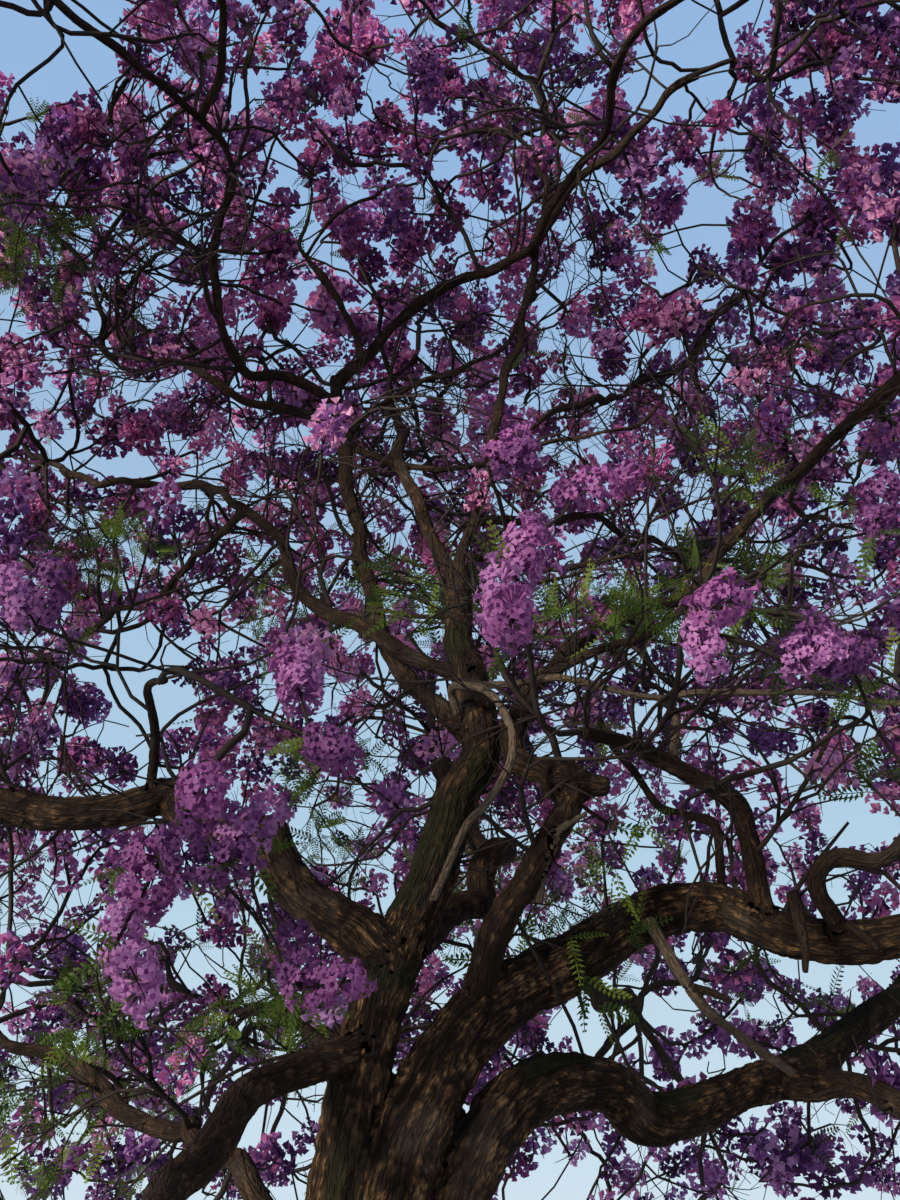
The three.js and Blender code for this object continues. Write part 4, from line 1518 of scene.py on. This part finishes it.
def lay_pieces(name, things, smooth, finish, slot):
    """Many small things, each points and triangles, joined into pieces of limited size"""
    runs, size = [[]], 0
    for thing in things:
        if size + len(thing[1]) > PIECE_LIMIT:
            runs.append([])
            size = 0
        runs[-1].append(thing)
        size += len(thing[1])
    for number, run in enumerate(runs, 1):
        points, faces = merged(run)
        mesh = bpy.data.meshes.new(name)
        mesh.vertices.add(len(points))
        mesh.vertices.foreach_set("co", points.astype(np.float32).ravel())
        mesh.loops.add(faces.size)
        mesh.loops.foreach_set("vertex_index", faces.astype(np.int32).ravel())
        mesh.polygons.add(len(faces))
        mesh.polygons.foreach_set("loop_start", np.arange(0, faces.size, 3, dtype=np.int32))
        mesh.polygons.foreach_set("use_smooth", np.full(len(faces), smooth))
        mesh.update(calc_edges=True)
        mesh.materials.append(finish)
        piece = bpy.data.objects.new(name + "_%d" % number, mesh)
        bpy.context.scene.collection.objects.link(piece)
        ride_as(piece, slot, *MASSES)


# Blossom: trumpet flowers on a short stalk, a head modelled in a few kinds and copied. A far
# head is two halves in one place, each with a tint of its own

HEAD_KINDS = 6
NEAR_KINDS = 4
HALF_FLOWERS = 25
NEAR_FLOWERS = 44
HEAD_LENGTH = 0.3
FLOWERS_FROM = 0.1
FLOWERS_OVER = 0.7
FLOWER_TURN = 2.4
TURNED_OFF = 0.4
TILTS = (-0.6, 0.4)
TILT_AT_TIP = 0.9
FLOWER_LENGTH = 0.055
NEAR_LENGTH = 0.068
FLOWER_SIZES = (0.85, 1.15)
STALKLET = 0.065
NEAR_STALKLET = 0.035
STALKLET_SIZES = (0.3, 1.3)
RIM_RADIUS = 0.03
RIM_SIZES = (0.75, 1.35)
RIM_HEIGHTS = (0.7, 1.15)
MOUTH_RADIUS = 0.014
MOUTH_SIZES = (0.85, 1.2)
TUBE_SHARE = 0.4
LOBE_LENGTH = 0.018
LOBE_SIZES = (0.8, 1.3)
LOBE_DROPS = (-0.5, 0.4)
LOBE_HALF_TURN = 0.45


def aimed(axis, roll):
    """A turn that takes +Z to the axis, as a matrix"""
    axis = axis / np.linalg.norm(axis)
    guess = np.array([0, 0, 1.0]) if abs(axis[2]) < 0.9 else np.array([1.0, 0, 0])
    across = np.cross(guess, axis)
    across /= np.linalg.norm(across)
    over = np.cross(axis, across)
    turned = across * math.cos(roll) + over * math.sin(roll)
    return np.stack([turned, np.cross(axis, turned), axis], axis=1)


def rim(radii, angles, heights):
    return np.stack([radii * np.cos(angles), radii * np.sin(angles), heights], axis=1)


def plain_flower(rng, length):
    """A trumpet seen from afar: three faces that open to a ruffled rim"""
    j = np.arange(3)
    angles = j * 2 * math.pi / 3 + rng.uniform(-TURNED_OFF, TURNED_OFF, 3)
    wide = RIM_RADIUS * rng.uniform(*RIM_SIZES, 3)
    points = [np.zeros((1, 3)), rim(wide, angles, length * rng.uniform(*RIM_HEIGHTS, 3))]
    faces = np.stack([0 * j, 1 + (j + 1) % 3, 1 + j], axis=1)
    return np.concatenate(points), faces


def lobed_flower(rng, length):
    """A trumpet seen close to: a narrow tube, a wider throat and five spreading lobes"""
    j = np.arange(5)
    k = (j + 1) % 5
    angles = j * 2 * math.pi / 5
    mouth = MOUTH_RADIUS * rng.uniform(*MOUTH_SIZES)
    lobe = LOBE_LENGTH * rng.uniform(*LOBE_SIZES, 5)
    drop = rng.uniform(*LOBE_DROPS, 5) * lobe
    points = [
        np.zeros((1, 3)),
        rim(TUBE_SHARE * mouth, angles, np.full(5, TUBE_SHARE * length)),
        rim(mouth, angles, np.full(5, length)),
        rim(mouth + lobe, angles + math.pi / 5 - LOBE_HALF_TURN, length + drop),
        rim(mouth + lobe, angles + math.pi / 5 + LOBE_HALF_TURN, length + drop),
    ]
    faces = [
        (0 * j, 1 + k, 1 + j), (1 + j, 1 + k, 6 + k), (1 + j, 6 + k, 6 + j),
        (6 + j, 16 + j, 11 + j), (6 + j, 6 + k, 16 + j),
    ]
    return np.concatenate(points), np.concatenate([np.stack(face, axis=1) for face in faces])


def blossom_head(rng, flowers, make_flower, length, stalklet):
    """Flowers all round a stalk along +Z, drooping a little at its foot"""
    things = []
    for i in range(flowers):
        share = (i + 0.5) / flowers
        turn = i * FLOWER_TURN + rng.uniform(-TURNED_OFF, TURNED_OFF)
        spread = 1 - 0.5 * share**2
        tilt = rng.uniform(*TILTS) + TILT_AT_TIP * share**2
        axis = np.array([math.cos(turn) * spread, math.sin(turn) * spread, tilt])
        points, faces = make_flower(rng, length * rng.uniform(*FLOWER_SIZES))
        points = points @ aimed(axis, rng.uniform(0, FULL_TURN)).T
        height = HEAD_LENGTH * (FLOWERS_FROM + FLOWERS_OVER * share)
        foot = axis * stalklet * rng.uniform(*STALKLET_SIZES) + (0, 0, height)
        things.append((points + foot, faces))
    return merged(things)


# Leaves: fern-like, narrow leaflets in pairs along an arching stalk

LEAF_KINDS = 5
LEAF_PAIRS = 9
LEAF_LENGTH = 0.25
LEAF_DROOPS = (0.15, 0.4)
LEAFLET_LENGTH = 0.052
LEAFLET_SIZES = (0.85, 1.1)
LEAFLET_WIDTH = 0.009
LEAF_STALK = 0.0022


def fern_leaf(rng):
    shares = np.linspace(0, 1, LEAF_PAIRS + 1)
    droop = rng.uniform(*LEAF_DROOPS)
    line = np.stack([0 * shares, -droop * LEAF_LENGTH * shares**2, LEAF_LENGTH * shares], axis=1)
    stalk = np.stack([line - (LEAF_STALK, 0, 0), line + (LEAF_STALK, 0, 0)], axis=1)[::3].reshape(-1, 3)
    i = np.arange(0, 6, 2)
    walls = [np.stack([i, i + 1, i + 3], axis=1), np.stack([i, i + 3, i + 2], axis=1)]
    things = [(stalk, np.concatenate(walls))]
    for share, spot in zip(shares[1:], line[1:]):
        long = LEAFLET_LENGTH * math.sin(math.pi * (0.18 + 0.72 * share)) * rng.uniform(*LEAFLET_SIZES)
        for way in (-1, 1):
            out = np.array([way * 0.86, -0.12 - 0.2 * droop, 0.5])
            out /= np.linalg.norm(out)
            wide = np.array([-way * 0.5, 0, 0.86]) * LEAFLET_WIDTH
            middle = spot + out * long * 0.5
            points = np.stack([spot, middle + wide, spot + out * long, middle - wide])
            faces = [(0, 1, 2), (0, 2, 3)] if way < 0 else [(0, 2, 1), (0, 3, 2)]
            things.append((points, np.array(faces)))
    return merged(things)


VIOLETS = {
    "deep_violet": (0.13, 0.05, 0.2),
    "violet": (0.34, 0.15, 0.46),
    "soft_violet": (0.66, 0.4, 0.76),
}
# Pink tints, dealt round the crown's upper middle as painted glow of light shining through backlit petals
PAINTED_GLOW_PINKS = {
    "wine": (0.36, 0.1, 0.3),
    "magenta": (0.68, 0.25, 0.56),
    "pale_pink": (0.88, 0.5, 0.78),
}
# Where the painted backlit glow is strongest, how much of the blossom it takes there, how fast it fades
# with distance, and the least share it keeps
PAINTED_GLOW_MIDDLE = (-0.5, 2, 8)
PAINTED_GLOW_SHARE = 0.95
PAINTED_GLOW_FADE = 0.125
PAINTED_GLOW_LEAST = 0.15
NEAR_TINTS = {
    "near_violet": (0.25, 0.09, 0.3),
    "near_mauve": (0.42, 0.15, 0.44),
    "near_lilac": (0.58, 0.27, 0.62),
}
LEAF_TINTS = {
    "dark_leaf": (0.035, 0.07, 0.015),
    "green_leaf": (0.085, 0.16, 0.025),
    "yellow_leaf": (0.17, 0.26, 0.035),
}


def petal_finish(name, colour, through):
    """A thin petal or leaf, part of whose light comes through from behind"""
    petal = Finish(name)
    petal.set(Base_Color=(*colour, 1), Roughness=0.6)
    petal.shader.inputs["Specular IOR Level"].default_value = 0.3
    glow = petal.add("ShaderNodeBsdfTranslucent", None, {"Color": (*colour, 1)})
    mixed = petal.add("ShaderNodeMixShader", None, {"Fac": through})
    petal.tree.links.new(petal.shader.outputs[0], mixed.inputs[1])
    petal.tree.links.new(glow.outputs[0], mixed.inputs[2])
    petal.tree.links.new(mixed.outputs[0], petal.tree.nodes["Material Output"].inputs["Surface"])
    return petal.material


def twig_finish():
    """Thin grey-brown bark, lighter where it is worn"""
    bark = Finish("twig_bark")
    place = bark.object_place()
    grain = bark.noise(place, 40, 3)
    patches = bark.noise(place, 5, 2)
    bark.set(Base_Color=bark.ramp(grain * 0.6 + patches * 0.4, [
        (0.35, (0.005, 0.0035, 0.003)),
        (0.62, (0.024, 0.015, 0.011)),
        (0.82, (0.12, 0.08, 0.055)),
    ]), Roughness=0.85, Normal=bark.bump(grain, 0.004, 0.5))
    return bark.material


class Crown:
    """All the twigs, blossom and leaves, sorted by finish"""

    def __init__(self):
        self.rng = np.random.default_rng(7)
        self.twigs = []
        self.heads = {tint: [] for tint in (*VIOLETS, *PAINTED_GLOW_PINKS)}
        self.leaves = {tint: [] for tint in LEAF_TINTS}
        self.near_heads = {tint: [] for tint in NEAR_TINTS}
        self.head_kinds = [
            blossom_head(self.rng, HALF_FLOWERS, plain_flower, FLOWER_LENGTH, STALKLET)
            for _ in range(HEAD_KINDS)
        ]
        self.near_kinds = [
            blossom_head(self.rng, NEAR_FLOWERS, lobed_flower, NEAR_LENGTH, NEAR_STALKLET)
            for _ in range(NEAR_KINDS)
        ]
        self.leaf_kinds = [fern_leaf(self.rng) for _ in range(LEAF_KINDS)]

    def add_twig(self, path, radii):
        self.twigs.append((path, radii))

    def twig_tubes(self):
        """A tube along every twig, all of them strayed as the limbs are"""
        ends = np.cumsum([len(path) for path, _ in self.twigs])[:-1]
        paths = np.split(strayed(np.concatenate([path for path, _ in self.twigs])), ends)
        tubes = []
        for path, (_, radii) in zip(paths, self.twigs):
            sides = 6 if radii.max() > STOUT else 4 if radii.max() > SLENDER else 3
            tubes.append(tube(path, radii, sides))
        return tubes

    def add_line(self, mass, line):
        points = np.array([node.place for node in line])
        radii = np.array([mass.radius(node) for node in line])
        radii[0] = radii[1]
        path, thick = smooth_line(points, radii, 3 if radii.max() > SLENDER else 2)
        if len(path) > 4:
            path[1:-1] += self.rng.normal(0, TWIG_WOBBLE, (len(path) - 2, 3))
        self.add_twiglets(path, thick)
        self.add_twig(path, thick)

    def add_twiglets(self, line, thick):
        """Bare side twigs"""
        rng = self.rng
        for i in range(1, len(line) - 1):
            if rng.random() < TWIGLET_SHARE:
                along = unit(line[i + 1] - line[i])
                away = unit(ALONG * along + rng.normal(0, AWRY, 3) + TWIGLET_RISE)
                size = min(TWIGLET_THICK, TWIG_TO_LIMB * thick[i])
                self.add_branch(line[i], away, rng.uniform(*TWIGLET_LENGTH), size)

    def add_branch(self, start, heading, long, thick):
        for path, radii in branch_out(self.rng, start, heading, long, thick):
            self.add_twig(path, radii)
            if in_ellipses(path[-1:], GREENS)[0] and self.rng.random() < GREEN_SHARE:
                self.add_leaves(path[-1], unit(path[-1] - path[-2]))

    def add_spray(self, mass, node):
        rng = self.rng
        along = unit(node.place - node.parent.place)
        spot = node.place
        if node.bare:
            self.add_branch(spot, along, rng.uniform(*BARE_LENGTH), BARE_THICK)
        elif mass.name in CLUMPS:
            self.add_heads(spot, along, HEADS_NEAR, "near")
        elif mass.name == "between":
            self.add_heads(spot, along, rng.integers(*HEADS_BETWEEN), "between")
        else:
            self.add_heads(spot, along, rng.choice(HEADS_IN_MASS, p=HEADS_CHANCES), "mass")
        leafy = LEAFY.get(mass.name, LEAFY_ELSEWHERE)
        if in_ellipses(spot[None], GREENS)[0]:
            leafy = GREEN_SHARE
        if rng.random() < leafy:
            self.add_leaves(spot, along)

    def add_leaves(self, spot, along):
        rng = self.rng
        for _ in range(rng.integers(*LEAVES_IN_SPRAY)):
            axis = unit(LEAF_ALONG * along + rng.normal(0, AWRY, 3))
            tint = rng.choice(list(LEAF_TINTS), p=LEAF_CHANCES)
            size = rng.uniform(*LEAF_SIZES)
            self.leaves[tint].append((spot, aimed(axis, rng.uniform(0, FULL_TURN)) * size))

    def add_heads(self, spot, along, count, kind):
        rng = self.rng
        for _ in range(count):
            axis = unit(ALONG * along + HEAD_RISE + rng.normal(0, HEAD_AWRY, 3))
            scale = rng.uniform(*SIZE_RANGE) * HEAD_SIZES[kind]
            stalk = np.stack([spot, spot + axis * HEAD_LENGTH * STALK_SHARE * scale])
            self.add_twig(stalk, np.array(STALK_RADII))
            roll = rng.uniform(0, FULL_TURN)
            if kind == "near":
                self.near_heads[rng.choice(list(NEAR_TINTS))].append((spot, aimed(axis, roll) * scale))
            else:
                for half in (0, 1):
                    self.heads[self.tint(spot)].append((spot, aimed(axis, roll + half) * scale))

    def tint(self, place):
        """Pink tints round the crown's upper middle, painted glow of light through backlit petals, and
        violet further off, lighter or darker by chance
        """
        painted_glow = PAINTED_GLOW_SHARE - PAINTED_GLOW_FADE * np.linalg.norm(place - PAINTED_GLOW_MIDDLE)
        family = PAINTED_GLOW_PINKS if self.rng.random() < max(PAINTED_GLOW_LEAST, painted_glow) else VIOLETS
        return self.rng.choice(list(family), p=TINT_CHANCES)


def copies(kinds, spots):
    """A few kinds of thing, copied in turn to many spots"""
    places = strayed(np.array([place for place, _ in spots]))
    return [
        (points @ turn.T + place, faces)
        for place, (_, turn), (points, faces) in zip(places, spots, itertools.cycle(kinds))
    ]


def build_crown(limbs):
    masses = Masses(limbs)
    crown = Crown()
    growths = [Mass(masses, number, *pair) for number, pair in enumerate(MASSES.items())]
    for mass in growths:
        mass.grow()
    flowering = [node.place for mass in growths for node in mass.nodes if node.spray and not node.bare]
    between = Between(masses)
    between.grow(flowering)
    for mass in [*growths, between]:
        for line in chains(mass.roots()):
            crown.add_line(mass, line)
        for node in mass.nodes:
            if node.spray:
                crown.add_spray(mass, node)
    for start, heading, long, thick in limb_branches(limbs):
        crown.add_branch(start, heading, long, thick)
    lay_pieces("twigs", crown.twig_tubes(), True, twig_finish(), "young_bark")
    for tints, kind, shapes, spots, through_share in (
        ({**VIOLETS, **PAINTED_GLOW_PINKS}, "blossom_", crown.head_kinds, crown.heads, 0.5),
        (NEAR_TINTS, "blossom_", crown.near_kinds, crown.near_heads, 0.4),
        (LEAF_TINTS, "leaves_", crown.leaf_kinds, crown.leaves, 0.45),
    ):
        for tint, colour in tints.items():
            finish = petal_finish(kind + tint, colour, through_share)
            lay_pieces(kind + tint, copies(shapes, spots[tint]), False, finish, "foliage")


def lay_floor():
    deselect()
    bpy.ops.mesh.primitive_circle_add(vertices=96, radius=FLOOR_RADIUS, fill_type="NGON",
                                      location=(0, 0, 0))
    floor = bpy.context.object
    floor.name = "floor"
    pale = Finish("pale_floor")
    pale.set(Base_Color=(0.56, 0.565, 0.57, 1), Roughness=0.9)
    floor.data.materials.append(pale.material)


place_camera()
light_studio()
lay_floor()
limbs = grow_limbs()
build_wood(limbs)
build_crown(limbs)
